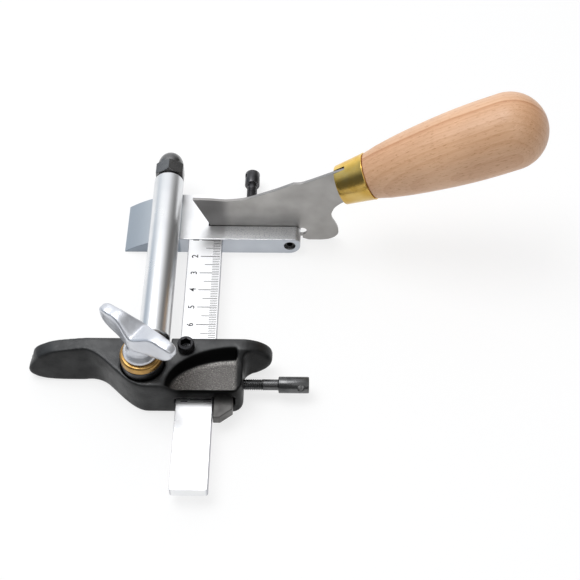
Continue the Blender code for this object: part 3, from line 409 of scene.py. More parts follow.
def cutWith(item, tool):
    modified(item, "BOOLEAN", operation="DIFFERENCE", object=tool)
    bpy.data.objects.remove(tool, do_unlink=True)


def arcRings(base, rise, inner, wide, steps):
    # A quarter ellipse that starts at its full width and stops a step short of its top
    turns = [math.pi / 2 * i / steps for i in range(steps)]
    return [(base + rise * math.sin(turn), inner + wide * math.cos(turn)) for turn in turns]


def rodRings(long, radius, edge, bore=0):
    # A rod, or a ring with a bore, with chamfered ends
    rings = [(0, bore), (0, radius - edge), (edge, radius), (long - edge, radius), (long, radius - edge),
             (long, bore)]
    return rings + [(0, bore)] if bore else rings


def hexRadius(flats, limit):
    # A hexagon by angle, its corners turned down to the limit
    def radius(turn):
        local = (turn + math.pi / 6) % (math.pi / 3) - math.pi / 6
        return min(flats / 2 / math.cos(local), limit)
    return radius


# Roller set

rollerSet = {"edgeSteps": 4, **metres(
    x=-18.5, z=20, start=-75.3, end=18.4, radius=7, bore=5.4, edge=0.6, ringBore=4.3, ringEdge=0.25,
    spindle=4, spindleEdge=0.5)}


def spindlePlace(y):
    return Matrix.Translation((rollerSet["x"], y, rollerSet["z"])) @ turnTo["Y"]


def buildRoller():
    look = rollerSet
    length = look["end"] - look["start"]
    edge, bore, radius = look["edge"], look["bore"], look["radius"]
    turns = [math.pi / 2 * i / look["edgeSteps"] for i in range(look["edgeSteps"] + 1)]
    corner = [(edge - edge * math.cos(turn), radius - edge + edge * math.sin(turn)) for turn in turns]
    rings = [(0, bore)] + corner
    rings += [(length - rise, size) for rise, size in reversed(corner)] + [(length, bore), (0, bore)]
    turnedPiece("rollerBody", "roller", rings, spindlePlace(look["start"]), "rollerSteel", 128, 50)
    for node, finish in (("roller_spacer", "turnedSteel"), ("thrust_washer", "blackOxide")):
        low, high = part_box(node)
        rings = rodRings(high.y - low.y, (high.x - low.x) / 2, look["ringEdge"], look["ringBore"])
        turnedPiece(node + "Ring", node, rings, spindlePlace(low.y), finish)
    low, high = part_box("roller_spindle")
    rings = rodRings(high.y - low.y, look["spindle"], look["spindleEdge"])
    turnedPiece("spindleRod", "roller_spindle", rings, spindlePlace(low.y), "turnedSteel", 64)
    for node in ("roller_bush_near", "roller_bush_far"):
        paint(nodes[node], finishes["bushBronze"])


buildRoller()
print("roller set built")


# Domed nut

domedNut = {"seatShare": 0.96, "footShare": 0.985, "chamferSteps": 4, "domeSteps": 15, **metres(
    flats=13, hexHeight=7.8, height=16, dome=6.2, bore=4.3, boreDepth=10.5, lowChamfer=0.9, highChamfer=1,
    foot=0.1, domeStart=0.9)}


def buildDomedNut():
    look = domedNut
    flats, hexHeight, dome = look["flats"], look["hexHeight"], look["dome"]
    seat = flats / 2 * look["seatShare"]
    corner = flats / 2 / math.cos(math.pi / 6)
    shares = [(i + 1) / look["chamferSteps"] for i in range(look["chamferSteps"])]
    chamfer = [(share, hexRadius(flats, seat + (corner - seat) * share)) for share in shares]
    rings = [(look["boreDepth"], 0), (look["boreDepth"], look["bore"]), (0, look["bore"]), (0, seat)]
    rings += [(share * look["lowChamfer"], size) for share, size in chamfer]
    rings += [(hexHeight - look["highChamfer"] * share, size) for share, size in reversed(chamfer)]
    rings += [(hexHeight, seat), (hexHeight + look["foot"], dome * look["footShare"])]
    base = hexHeight + look["domeStart"]
    rings += arcRings(base, look["height"] - base, 0, dome, look["domeSteps"])
    rings.append((look["height"], 0))
    turnedPiece("domedNut", "acorn_nut", rings, spindlePlace(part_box("acorn_nut")[0].y), "nutOxide", 96, 28)


buildDomedNut()
print("domed nut built")


# Screws with cut threads

clampScrews = {
    "fence": {"node": "fence_clamp_screw", "axis": "X", "tilt": 60, "finish": "screwOxide",
              **metres(thread=12.8, shank=6.4, head=13.4, hole=3.6)},
    "blade": {"node": "blade_clamp_screw", "axis": "Y", "tilt": 15, "finish": "blackOxide",
              **metres(thread=25.4, shank=2.4, head=8.0, hole=2.6)},
    "edgeShare": 0.3,
    **metres(crest=2.5, root=2.1, pitch=0.8, neck=2.4, runout=0.1, fillet=0.3, headRadius=3.65, edge=0.45,
             crossHole=1.55, overrun=2),
}
threadShape = {"rows": 8, "wide": 1.6, "slope": 4}


def threadRings(start, end, crest, root, pitch):
    # Each ring climbs one pitch in a turn, so the groove runs as a helix; it fades at both ends
    rings = []
    count = int((end - start) / pitch * threadShape["rows"])
    for i in range(count + 1):
        height = start + (end - start) * i / count
        fade = min(1, (height - start) / pitch, (end - height) / pitch)

        def radius(turn, height=height, fade=max(fade, 0)):
            phase = (height / pitch - turn / (2 * math.pi)) % 1
            cut = min(1, max(0, threadShape["wide"] - abs(phase - 0.5) * threadShape["slope"]))
            return crest - (crest - root) * cut * fade

        rings.append((height, radius))
    return rings


def buildClampScrew(key):
    look = {**clampScrews, **clampScrews[key]}
    edge, radius, neck, fillet = look["edge"], look["headRadius"], look["neck"], look["fillet"]
    soft = edge * look["edgeShare"]
    seat = look["thread"] + look["shank"]
    end = seat + look["head"]
    rings = [(0, 0), (0, look["root"] - edge), (edge, look["root"])]
    rings += threadRings(edge, look["thread"], look["crest"], look["root"], look["pitch"])
    rings += [(look["thread"] + look["runout"], neck), (seat - fillet, neck), (seat, neck + fillet),
              (seat, radius - edge), (seat + soft, radius - soft), (seat + edge, radius),
              (end - edge, radius), (end - soft, radius - soft), (end, radius - edge), (end, 0)]
    place = boxPlace(look["node"], look["axis"])[0]
    name = key + "ClampScrew"
    finish = finishes[look["finish"]]
    item = putObject(name, shellMesh(name, rings, 48, place), finish)
    reach = radius * 2 + look["overrun"]
    turn = Matrix.Rotation(math.radians(look["tilt"]), 4, "Z") @ turnTo["X"]
    spot = place @ Matrix.Translation((0, 0, end - look["hole"])) @ turn
    spot = spot @ Matrix.Translation((0, 0, -reach / 2))
    hole = [(0, 0), (0, look["crossHole"]), (reach, look["crossHole"]), (reach, 0)]
    cutWith(item, putObject("crossDrill", shellMesh("crossDrill", hole, 32, spot), finish))
    smoothShade(item, 30)
    finishPiece(item, look["node"])


for screwKey in ("fence", "blade"):
    buildClampScrew(screwKey)

capScrew = {"knurls": 36, **metres(
    radius=3.65, height=4, shank=2, shankEdge=0.3, lowEdge=0.35, highEdge=0.5, rimDrop=0.12, rimIn=0.2,
    faceIn=0.45, socket=4.3, depth=3.6, cone=0.5, knurlDepth=0.14)}


def buildCapScrew():
    look = capScrew
    place, size = boxPlace("cap_screw", "Z")
    top = size[2]
    seat = top - look["height"]
    radius, shank, drop = look["radius"], look["shank"], look["rimDrop"]
    corner = look["socket"] / 2 / math.cos(math.pi / 6)
    socket = hexRadius(look["socket"], corner * 2)

    def knurl(turn):
        ridge = abs((turn * look["knurls"] / (2 * math.pi)) % 1 - 0.5) * 2
        return radius - look["knurlDepth"] * (1 - ridge)

    rings = [(0, 0), (0, shank - look["shankEdge"]), (look["shankEdge"], shank), (seat, shank),
             (seat, radius - look["lowEdge"]), (seat + look["lowEdge"], knurl),
             (top - look["highEdge"], knurl), (top - drop, radius - look["rimIn"]),
             (top, radius - look["faceIn"]), (top, corner + drop), (top - drop, socket),
             (top - look["depth"], socket), (top - look["depth"] - look["cone"], 0)]
    turnedPiece("fenceCapScrew", "cap_screw", rings, place, "capOxide", 144, 25)


buildCapScrew()
print("screws built")


# Post, stud, washer and spring

postSet = {"plainShare": 0.55, "threadShare": 0.56, "crownSteps": 6, **metres(
    stud=4, studEdge=0.6, pitch=1.25, root=3.35, bore=4.3, washerEdge=0.3, crownRise=1.6, crownIn=1.1,
    postEdge=0.15)}


def buildPostSet():
    look = postSet
    stud, edge, bore = look["stud"], look["studEdge"], look["bore"]
    place, size = boxPlace("post_stud", "Z")
    long = size[2]
    rings = [(0, 0), (0, stud - edge), (edge, stud), (long * look["plainShare"], stud)]
    rings += threadRings(long * look["threadShare"], long - edge, stud, look["root"], look["pitch"])
    rings += [(long, look["root"]), (long, 0)]
    turnedPiece("threadedStud", "post_stud", rings, place, "turnedSteel", 64, 30)
    place, size = boxPlace("brass_washer", "Z")
    outer, tall = size[0] / 2, size[2]
    rise, inward = look["crownRise"], look["crownIn"]
    rings = [(0, bore), (0, outer - look["washerEdge"]), (look["washerEdge"], outer)]
    rings += arcRings(tall - rise, rise, outer - inward, inward, look["crownSteps"])
    rings += [(tall, outer - inward), (tall, bore), (0, bore)]
    turnedPiece("washerRing", "brass_washer", rings, place, "washerBrass", 96)
    softCopy("roller_post", "postSleeve", finishes["blackOxide"], look["postEdge"])
    paint(nodes["lift_spring"], finishes["turnedSteel"])
    smoothShade(nodes["lift_spring"])


buildPostSet()
print("post set built")


# Wing nut

wingNut = {"rounds": 20, "turn": -36.0, "square": 0.34, "tipPower": 12, "stations": 48, "corners": 40,
           "foot": [(0.00, 0.330), (0.24, 0.320), (0.44, 0.325), (0.64, 0.370), (0.81, 0.465), (0.94, 0.600),
                    (1.00, 0.720)],
           "crown": [(0.00, 0.700), (0.20, 0.785), (0.39, 0.880), (0.54, 0.910), (0.686, 0.895),
                     (0.853, 0.885), (0.97, 0.820), (1.00, 0.720)],
           "hub": [(0.96, 0.000), (1.00, 0.030), (1.00, 0.110), (0.93, 0.180), (0.80, 0.280), (0.69, 0.420),
                   (0.66, 0.805), (0.54, 0.922), (0.34, 0.984)],
           **metres(voxel=0.26, span=40.8, rise=20.8, tip=2.95, root=5.6, reach=6.8, hubRadius=7.75,
                    hubHeight=12.8, bore=4.3, boreDepth=9.6)}


def curveAt(points, share):
    # Smooth curve through (share, height) points
    for i in range(len(points) - 1):
        if share <= points[i + 1][0] + 1e-9:
            a = points[max(i - 1, 0)][1]
            b, c = points[i][1], points[i + 1][1]
            d = points[min(i + 2, len(points) - 1)][1]
            t = (share - points[i][0]) / (points[i + 1][0] - points[i][0])
            return (2 * b + (c - a) * t + (2 * a - 5 * b + 4 * c - d) * t**2
                    + (3 * b - a - 3 * c + d) * t**3) / 2
    return points[-1][1]


def remeshed(item, voxel):
    modified(item, "REMESH", mode="VOXEL", voxel_size=voxel)


def relaxed(item, rounds, weight=None):
    # Vertices ease toward their neighbours; weight(point) holds some of them back
    group = ""
    if weight is not None:
        held = item.vertex_groups.new(name="ease")
        for spot in item.data.vertices:
            held.add([spot.index], weight(spot.co), "REPLACE")
        group = held.name
    modified(item, "SMOOTH", factor=0.5, iterations=rounds, vertex_group=group)
    item.vertex_groups.clear()


def finishCasting(item, node, material):
    paint(item, material)
    item.data.shade_smooth()
    finishPiece(item, node)


def wingLoops():
    # Sections across the bar of the nut: thick past the hub, thin at the two raised tips
    look = wingNut
    stations, corners, square = look["stations"], look["corners"], look["square"]
    loops = []
    for i in range(-stations, stations + 1):
        share = math.sin(math.pi / 2 * i / stations)
        x = look["span"] / 2 * share
        if abs(i) == stations:
            loops.append([(x, 0, look["rise"] * look["foot"][-1][1])])
            continue
        low = look["rise"] * curveAt(look["foot"], abs(share))
        high = look["rise"] * curveAt(look["crown"], abs(share))
        thick = look["tip"] + (look["root"] - look["tip"]) * math.exp(-(x / look["reach"])**2)
        thick *= math.sqrt(max(0, 1 - abs(share)**look["tipPower"]))
        loop = []
        for k in range(corners):
            turn = 2 * math.pi * k / corners
            side, up = math.cos(turn), math.sin(turn)
            loop.append((x, thick * math.copysign(abs(side)**square, side),
                         (low + high) / 2 + (high - low) / 2 * math.copysign(abs(up)**square, up)))
        loops.append(loop)
    return loops


def buildWingNut():
    look = wingNut
    low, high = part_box("post_stud")
    middle = (low + high) / 2
    place = (Matrix.Translation((middle.x, middle.y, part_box("wing_nut")[0].z))
             @ Matrix.Rotation(math.radians(look["turn"]), 4, "Z"))
    rings = [(look["boreDepth"], 0), (look["boreDepth"], look["bore"]), (0, look["bore"])]
    rings += [(up * look["hubHeight"], wide * look["hubRadius"]) for wide, up in look["hub"]]
    rings.append((look["hubHeight"], 0))
    work = bmesh.new()
    work.from_mesh(shellMesh("nutHub", rings, 96, place))
    work.from_mesh(loftMesh("nutWings", wingLoops(), place))
    item = putObject("wingNutCasting", meshFrom("wingNutCasting", work), finishes["chromePlate"])
    remeshed(item, look["voxel"])
    relaxed(item, look["rounds"])
    finishCasting(item, "wing_nut", finishes["chromePlate"])


buildWingNut()
print("wing nut built")


# Fence casting; places outside metres() are in millimetres

fenceLook = {
    "evenRounds": 3, "rounds": 90, "tipRounds": 60,
    **metres(voxel=0.45, gibEdge=0.25, depth=0.025, dustEnds=(-12, 8)),
    "skin": {"dark": (0.060, 0.061, 0.062), "light": (0.092, 0.093, 0.094), "toneScale": 140,
             "smooth": 0.40, "rough": 0.52},
    "raw": {"dark": (0.072, 0.067, 0.064), "light": (0.25, 0.24, 0.233), "toneScale": 2400,
            "smooth": 0.55, "rough": 0.8},
    "specks": {"Scale": 2600, "Detail": 2, "Low": 0.56, "High": 0.64}, "speckTone": (0.50, 0.48, 0.45),
    "fine": {"Scale": 1300, "Detail": 4}, "coarse": {"Scale": 2000, "Detail": 5}, "coarseRise": 5,
    # painted shade for the hollows and for faces toward the front, and painted glints for the pocket rim, are
    # set among these tones
    "skinMetal": 0.9, "rawMetal": 0.25, "shine": 0.3, "hollowShadeTone": (0.07, 0.07, 0.07),
    "frontShadeTone": (0.52, 0.52, 0.52), "rimGlintTone": (0.70, 0.68, 0.65), "leftFloorTone": (0.42, 0.40, 0.38),
    "corner": (18.2, -99.1), "floorReach": (28.5, 15.8), "rimReach": (30.2, 20.0),
    "floorShare": (1.01, 0.96), "rimShare": (1.03, 1.0), "wallShare": (0.97, 1.02), "wallTop": (20.2, 19.4),
    "brightShare": (0.86, 0.96), "brightEnd": (1.02, 0.99), "sideHollow": 0.8, "wingHollow": 0.45,
    "floorAt": 15.0, "drop": 4.8, "slopeFrom": 14.5, "slopeTo": 19.9, "wallAt": 16.6, "wallDrop": 0.85,
    "sideDrop": 0.8, "tipAt": -75.15, "fillFront": 1.9, "fillTop": 2.2, "fillBack": 0.35,
}

# Each zone is a product of ramps along an axis, from where they start to where they are full
fenceZones = {
    "pocket": [("x", 18.6, 17.9), ("y", -99.4, -98.8)],
    "overFloor": [("z", 14.2, 14.6)],
    "brightLength": [("x", -4, 9)],
    "frontHollow": [("y", -97.5, -99.5), ("x", -14, -6), ("x", 22, 19), ("z", 9.5, 10.5)],
    "sideHollow": [("x", 17.2, 18.6), ("y", -79.6, -80.8)],
    "wingHollow": [("x", 16, 24), ("y", -75.2, -76.5)],
    "frontWall": [("x", -13, -8), ("x", 22, 19), ("y", -98.0, -98.9)],
    "sideWall": [("x", 16.5, 18.2), ("y", -80.3, -86)],
    "leftWing": [("x", -56, -70)],
    "rightWing": [("x", 25, 31)],
    "housingFront": [("y", -90, -95), ("z", 6, 12), ("x", -46, -38), ("x", 0, -6)],
    "pocketWalls": [("x", -14, -10), ("x", 20, 18), ("y", -77, -79), ("z", 13.8, 14.2)],
    "offGuide": [("y", -74.5, -77)],
    "offSole": [("z", 0, 2)],
    "offSlot": [("y", -97, -100.3)],
    "tipEase": [("x", -60, -70), ("y", -74.5, -77)],
    "tipFront": [("y", -76, -81.5)],
    "tipTop": [("z", 7, 13)],
    "tipBack": [("y", -77.5, -74.5)],
    "tipEnd": [("x", -60, -71)],
}
# How free the surface is to round off, in its free zones and where it has to hold its shape
fenceEases = {"base": 0.17, "free": {"leftWing": 1, "rightWing": 1, "housingFront": 1, "pocketWalls": 0.35},
              "held": {"offGuide": 0.04, "offSole": 0.08},
              "post": (-22.3, -88), "boreRadius": 9.45, "boreEnds": 3, "bore": 0.03,
              "slotLeft": -10, "slotRight": 19, "slotTop": 13.9, "slotFront": -101, "slot": 0.05,
              "slotMouth": 0.25, "screwFrom": 17, "screwAt": -90.1, "screwHalf": 4, "screwTop": 11,
              "screw": 0.1}


def castMaterial():
    # Satin black skin with painted shade in the hollows and on faces toward the front, and a raw sandy floor
    # in the pocket, with painted glints along its rim and darker towards the left
    look = fenceLook
    material, tree, shader, place = startMaterial("blackCasting")
    skin = tonePattern(tree, place, look["skin"])
    raw = tonePattern(tree, place, look["raw"])
    coarse = grainValue(tree, place, look["coarse"])
    sandy = attributeMask(tree, "pocketFloor")
    # painted shade in the hollows, from the hollow mask
    black = tinted(tree, skin["Color"], attributeMask(tree, "hollowShade"), look["hollowShadeTone"])
    # painted shade on faces that look toward the front
    black = facingTint(tree, black, "Y", -1, look["frontShadeTone"])
    sand = mixColor(tree, grainValue(tree, place, look["specks"]), raw["Color"], look["speckTone"])
    # painted glints along the rim of the pocket floor
    glintSpots = mathNode(tree, "MULTIPLY", attributeMask(tree, "rimGlint"), coarse)
    sand = mixColor(tree, glintSpots, sand, look["rimGlintTone"])
    # the raw floor is darker towards the left
    darkerLeft = tinted(tree, sand, 1, look["leftFloorTone"])
    sand = mixColor(tree, edgeMask(tree, place, look["dustEnds"]), darkerLeft, sand)
    rough = mixValue(tree, sandy, skin["Roughness"], raw["Roughness"])
    metal = mixValue(tree, sandy, look["skinMetal"], look["rawMetal"])
    lumps = mathNode(tree, "MULTIPLY", coarse, look["coarseRise"])
    height = mixValue(tree, sandy, grainValue(tree, place, look["fine"]), lumps)
    feed(tree, shader, {"Specular IOR Level": look["shine"]})
    finishShader(tree, shader, mixColor(tree, sandy, black, sand), rough, metal, height, look["depth"])
    return material


def inMillimetres(spot):
    return [part / mm for part in spot]


def zoneShare(key, at):
    share = 1
    for axis, start, end in fenceZones[key]:
        share *= ramp(at["xyz".index(axis)], start, end)
    return share


def pocketShare(at, reach):
    # 0 at the pocket's square corner, 1 along a quarter ellipse of this reach
    corner, reach = fenceLook["corner"], fenceLook[reach]
    return math.hypot((corner[0] - at[0]) / reach[0], (at[1] - corner[1]) / reach[1])


def inPocket(at):
    return zoneShare("pocket", at) * ramp(pocketShare(at, "rimReach"), *fenceLook["rimShare"])


def floorLevel(at):
    share = ramp(pocketShare(at, "floorReach"), *fenceLook["floorShare"])
    return inPocket(at) * zoneShare("overFloor", at) * share


def rimLevel(at):
    # painted glints: a band along the rim of the pocket floor
    share = pocketShare(at, "floorReach")
    band = ramp(share, *fenceLook["brightShare"]) * ramp(share, *fenceLook["brightEnd"])
    return inPocket(at) * band * zoneShare("brightLength", at) * zoneShare("overFloor", at)


def hollowLevel(at):
    # painted shade: the pocket walls below the top, the front face above the bar, and beside the pocket's
    # right side and the right wing
    look = fenceLook
    foot = ramp(pocketShare(at, "floorReach"), *look["wallShare"])
    return max(inPocket(at) * foot * ramp(at[2], *look["wallTop"]), zoneShare("frontHollow", at),
               *(look[key] * zoneShare(key, at) for key in ("sideHollow", "wingHollow")))


def shapePocket(item):
    # The floor climbs to the far rim, and the walls in front and at the right stand lower than the top
    look = fenceLook
    for spot in item.data.vertices:
        at = inMillimetres(spot.co)
        z = at[2]
        if inPocket(at) > 0 and look["slopeFrom"] < z < look["slopeTo"]:
            share = pocketShare(at, "floorReach")
            edge = share / max(pocketShare(at, "rimReach"), 0.01)
            if share > 1:
                z = max(z, look["floorAt"] + look["drop"] * min(1, (share - 1) / (edge - 1)))
        wall = look["wallAt"]
        if z > wall:
            lower = max(zoneShare("frontWall", at), look["sideDrop"] * zoneShare("sideWall", at))
            z = wall + (z - wall) * (1 - look["wallDrop"] * lower)
        spot.co.z = max(z, 0) * mm


def fillTip(item):
    # The left tip is filled out to a full round
    look = fenceLook
    for spot in item.data.vertices:
        at = inMillimetres(spot.co)
        fill = max(look["fillFront"] * zoneShare("tipFront", at), look["fillTop"] * zoneShare("tipTop", at))
        fill -= look["fillBack"] * zoneShare("tipBack", at)
        spot.co.x = max(at[0] - fill * zoneShare("tipEnd", at), look["tipAt"]) * mm


def fenceEase(spot):
    # Soft at the wing tips, round the post housing's front and in the pocket; crisp elsewhere
    look = fenceEases
    at = inMillimetres(spot)
    x, y, z = at
    ease = max(look["base"], *(most * zoneShare(key, at) for key, most in look["free"].items()))
    for key, least in look["held"].items():
        ease = min(ease, max(least, zoneShare(key, at)))
    toPost = math.hypot(x - look["post"][0], y - look["post"][1])
    ease = min(ease, max(look["bore"], abs(toPost - look["boreRadius"]) / look["boreEnds"]))
    if look["slotLeft"] < x < look["slotRight"] and z < look["slotTop"] and y > look["slotFront"]:
        ease = min(ease, look["slot"] + zoneShare("offSlot", at) * look["slotMouth"])
    if x > look["screwFrom"] and abs(y - look["screwAt"]) < look["screwHalf"] and z < look["screwTop"]:
        ease = min(ease, look["screw"])
    return ease


def buildFence():
    look = fenceLook
    casting = castMaterial()
    item = mergedCopy("fence_casting", "fenceCasting", casting)
    remeshed(item, look["voxel"])
    shapePocket(item)
    remeshed(item, look["voxel"])
    relaxed(item, look["evenRounds"])
    relaxed(item, look["rounds"], fenceEase)
    for spot in item.data.vertices:
        spot.co.z = max(spot.co.z, 0)
    relaxed(item, look["tipRounds"], lambda spot: zoneShare("tipEase", inMillimetres(spot)))
    fillTip(item)
    # masks for the raw floor, for painted shade in the hollows and for painted glints along the pocket rim
    for name, level in (("pocketFloor", floorLevel), ("hollowShade", hollowLevel), ("rimGlint", rimLevel)):
        mask = item.data.attributes.new(name, "FLOAT", "POINT")
        for spot, held in zip(item.data.vertices, mask.data):
            held.value = level(inMillimetres(spot.co))
    finishCasting(item, "fence_casting", casting)
    softCopy("gib", "gibSlide", finishes["gibIron"], look["gibEdge"])


buildFence()
print("fence built")


# Bar and its scale

barScale = {**metres(top=10, ink=0.03, to=7.3, edge=0.35),
            "rows": [{"first": 10, "every": 1, "count": 92, **metres(start=4.0, wide=0.27)},
                     {"first": 15, "every": 5, "count": 17, **metres(start=0.5, wide=0.32)},
                     {"first": 10, "every": 10, "count": 10, **metres(start=-1.7, wide=0.38)}],
            "figure": {"last": 10, **metres(height=4.1, x=-3.0, weight=0.06, every=10)},
            "look": {"dark": (0.02, 0.02, 0.024), "light": (0.07, 0.07, 0.076), "toneScale": 900,
                     "smooth": 0.5, "rough": 0.7, "shine": 0.15}}


def inkMaterial():
    look = barScale["look"]
    material, tree, shader, place = startMaterial("etchedInk")
    tone = tonePattern(tree, place, look)
    feed(tree, shader, {"Base Color": tone["Color"], "Roughness": tone["Roughness"],
                        "Specular IOR Level": look["shine"]})
    return material


def tickTree(ink):
    # A row of thin marks along -Y: count, spacing and size are the inputs
    tree, given, result = startGroup(
        "scaleMarks",
        [("Geometry", "Geometry"), ("Count", "Int"), ("Spacing", "Float"), ("First", "Vector"),
         ("Size", "Vector")],
        [("Geometry", "Geometry")], "GeometryNodeTree")
    step = addNode(tree, "ShaderNodeCombineXYZ", {"Y": mathNode(tree, "MULTIPLY", given["Spacing"], -1)})
    row = addNode(tree, "GeometryNodeMeshLine", {"Count": given["Count"], "Start Location": given["First"],
                                                 "Offset": step.outputs[0]})
    mark = addNode(tree, "GeometryNodeMeshCube", {"Size": given["Size"]})
    spread = addNode(tree, "GeometryNodeInstanceOnPoints", {"Points": row.outputs[0],
                                                            "Instance": mark.outputs[0]})
    real = addNode(tree, "GeometryNodeRealizeInstances", {0: spread.outputs[0]})
    inked = addNode(tree, "GeometryNodeSetMaterial", {"Geometry": real.outputs[0], "Material": ink})
    feed(tree, result, {0: inked.outputs[0]})
    return tree


def markRow(tree, ink, row):
    name = "marksEvery" + str(row["every"])
    holder = putObject(name, bpy.data.meshes.new(name), ink)
    step = holder.modifiers.new("marks", "NODES")
    step.node_group = tree
    start, end = row["start"], barScale["to"]
    values = {"Count": row["count"], "Spacing": row["every"] * mm,
              "First": ((start + end) / 2, -row["first"] * mm, barScale["top"]),
              "Size": (end - start, row["wide"], barScale["ink"])}
    for socket in tree.interface.items_tree:
        if socket.in_out == "INPUT" and socket.name in values:
            step[socket.identifier] = values[socket.name]
    return applied(holder)


def scaleFigure(number, ink):
    figure = barScale["figure"]
    text = configured(bpy.data.curves.new("figure", "FONT"), body=str(number), size=figure["height"],
                      align_x="CENTER", extrude=barScale["ink"] / 2, offset=figure["weight"])
    item = addObject("figure", text)
    mesh = evaluatedMesh(item)
    bpy.data.objects.remove(item, do_unlink=True)
    mesh.transform(Matrix.Translation((figure["x"], -number * figure["every"], barScale["top"]))
                   @ Matrix.Rotation(math.pi / 2, 4, "Z"))
    return putObject("figure" + str(number), mesh, ink)


def buildScale():
    ink = inkMaterial()
    tree = tickTree(ink)
    pieces = [markRow(tree, ink, row) for row in barScale["rows"]]
    pieces += [scaleFigure(i + 1, ink) for i in range(barScale["figure"]["last"])]
    work = bmesh.new()
    for item in pieces:
        work.from_mesh(item.data)
        bpy.data.objects.remove(item, do_unlink=True)
    scale = putObject("barScaleMarks", meshFrom("barScaleMarks", work), ink)
    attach(scale, "frame")


buildScale()
softCopy("graduated_bar", "scaleBar", finishes["barSteel"], barScale["edge"])
for dowel in ("bar_dowel_left", "bar_dowel_right"):
    paint(nodes[dowel], finishes["turnedSteel"])
print("bar built")


# Head

headLook = {"dark": (0.88, 0.89, 0.90), "light": (0.97, 0.975, 0.98), "toneScale": 90, "smooth": 0.28,
            "rough": 0.42, "grind": {"Stretch": (1, 0.05, 1), "Scale": 3500, "Detail": 2},
            "pits": {"Scale": 1700, "Low": 0.38, "High": 0.48}, "pitTone": (0.76, 0.77, 0.80),
            "pitRise": 9, "armRough": 0.40, "noseTone": (0.55, 0.59, 0.63),
            "frontShadeTone": (0.50, 0.525, 0.565),
            **metres(armEnds=(8, 10), noseEnds=(-12.0, -12.8), depth=0.006, edge=0.3, grubEdge=0.12)}


def headMaterial():
    # Ground top, a nose tinted darker and bluer, painted shade on faces toward the front, and an arm whose
    # top is left grainy
    look = headLook
    material, tree, shader, place = startMaterial("headSteel")
    tone = tonePattern(tree, place, look)
    pits = grainValue(tree, place, look["pits"])
    onArm = edgeMask(tree, place, look["armEnds"])
    grainy = mathNode(tree, "MULTIPLY", facing(tree, "Z"), onArm, clamp=True)
    color = tinted(tree, tone["Color"], grainy, mixColor(tree, pits, look["pitTone"], white))
    color = tinted(tree, color, edgeMask(tree, place, look["noseEnds"]), look["noseTone"])
    # painted shade on faces that look toward the front
    color = facingTint(tree, color, "Y", -1, look["frontShadeTone"])
    rough = mixValue(tree, grainy, tone["Roughness"], look["armRough"])
    pitted = mathNode(tree, "MULTIPLY", pits, look["pitRise"])
    height = mixValue(tree, grainy, grainValue(tree, place, look["grind"]), pitted)
    finishShader(tree, shader, color, rough, 1, height, look["depth"])
    return material


softCopy("head", "headBlock", headMaterial(), headLook["edge"])
softCopy("grub_screw", "grubScrew", finishes["blackOxide"], headLook["grubEdge"])
print("head built")


# Knife

knifeLook = {"dark": (0.375, 0.365, 0.352), "light": (0.47, 0.458, 0.445), "toneScale": 70, "smooth": 0.32,
             "rough": 0.46, "grain": {"Stretch": (0.12, 1, 1), "Scale": 2600},
             "groundTone": (0.69, 0.69, 0.70), "lobeShadeTone": (0.80, 0.80, 0.80), "edgeShadeTone": (0.80, 0.80, 0.81),
             **metres(groundEnds=(8, 12), lobeEnds=(30, 46), depth=0.005, edge=0.2)}


def bladeMaterial():
    # Rolled plate with a darker ground strip behind the cutting edge, painted shade on the lobe toward the
    # handle and painted shade on the edges
    look = knifeLook
    material, tree, shader, place = startMaterial("bladeSteel")
    tone = tonePattern(tree, place, look)
    shade = mixColor(tree, edgeMask(tree, place, look["groundEnds"]), look["groundTone"], white)
    # painted shade on the lobe toward the handle
    shade = mixColor(tree, edgeMask(tree, place, look["lobeEnds"]), shade, look["lobeShadeTone"])
    # painted shade on the edges, by the way they face
    shade = mixColor(tree, mathNode(tree, "ABSOLUTE", facing(tree, "Y")), look["edgeShadeTone"], shade)
    finishShader(tree, shader, tinted(tree, tone["Color"], 1, shade), tone["Roughness"], 1,
                 grainValue(tree, place, look["grain"]), look["depth"])
    return material


softCopy("knife_blade", "knifePlate", bladeMaterial(), knifeLook["edge"])
print("knife built")


# Handle and ferrule

handleLook = {"lean": 26.0, "capShare": 0.79, "swellSteps": 60, "capSteps": 24,
              "swell": [(0.00, 0.000), (0.08, 0.240), (0.20, 0.500), (0.33, 0.710), (0.46, 0.870),
                        (0.58, 0.965), (0.70, 1.000), (0.79, 1.000)],
              **metres(start=(64.0, 0, 38.4), length=83.5, shoulder=10.97, belly=17.35, plugStart=0.4,
                       gap=0.3, shoulderIn=0.4, shoulderEdge=0.12)}
ferruleLook = {"taperSteps": 12, "slitWide": 1.2, **metres(
    length=14.5, front=9.4, back=11.2, wall=0.9, lip=0.35, edge=0.1, bead=0.75, taperShort=1.3,
    taperIn=0.15, slitHalf=1.05, slitDeep=5.8, slitOver=3)}

woodLook = {"dark": (0.76, 0.46, 0.275), "light": (0.91, 0.575, 0.355), "toneScale": 28, "smooth": 0.34,
            "rough": 0.46, "ringTone": (0.82, 0.68, 0.57), "fibreTone": (0.91, 0.86, 0.81),
            "fleckTone": (0.80, 0.67, 0.57), "coat": 0.15, "coatRough": 0.3,
            **metres(sway=3.0, depth=-0.02),
            "bend": {"Stretch": (0.3, 1, 1), "Scale": 45, "Detail": 2, "Low": 0.2, "High": 0.8},
            "flecks": {"Stretch": (0.16, 1, 1), "Scale": 2400, "Detail": 2, "Low": 0.60, "High": 0.68},
            "fibres": {"Stretch": (0.04, 1, 1), "Scale": 1500, "Detail": 4, "Low": 0.3, "High": 0.7},
            "layers": {**metres(spacing=22, shift=-2.8),
                       "profile": [(0.0, 0.3), (0.02, 0.0), (0.45, 0.05), (0.90, 0.34), (0.975, 1.0)]},
            "lines": {**metres(spacing=2.5, shift=0), "profile": [(0.0, 0.0), (0.6, 0.05), (0.93, 0.34)]}}


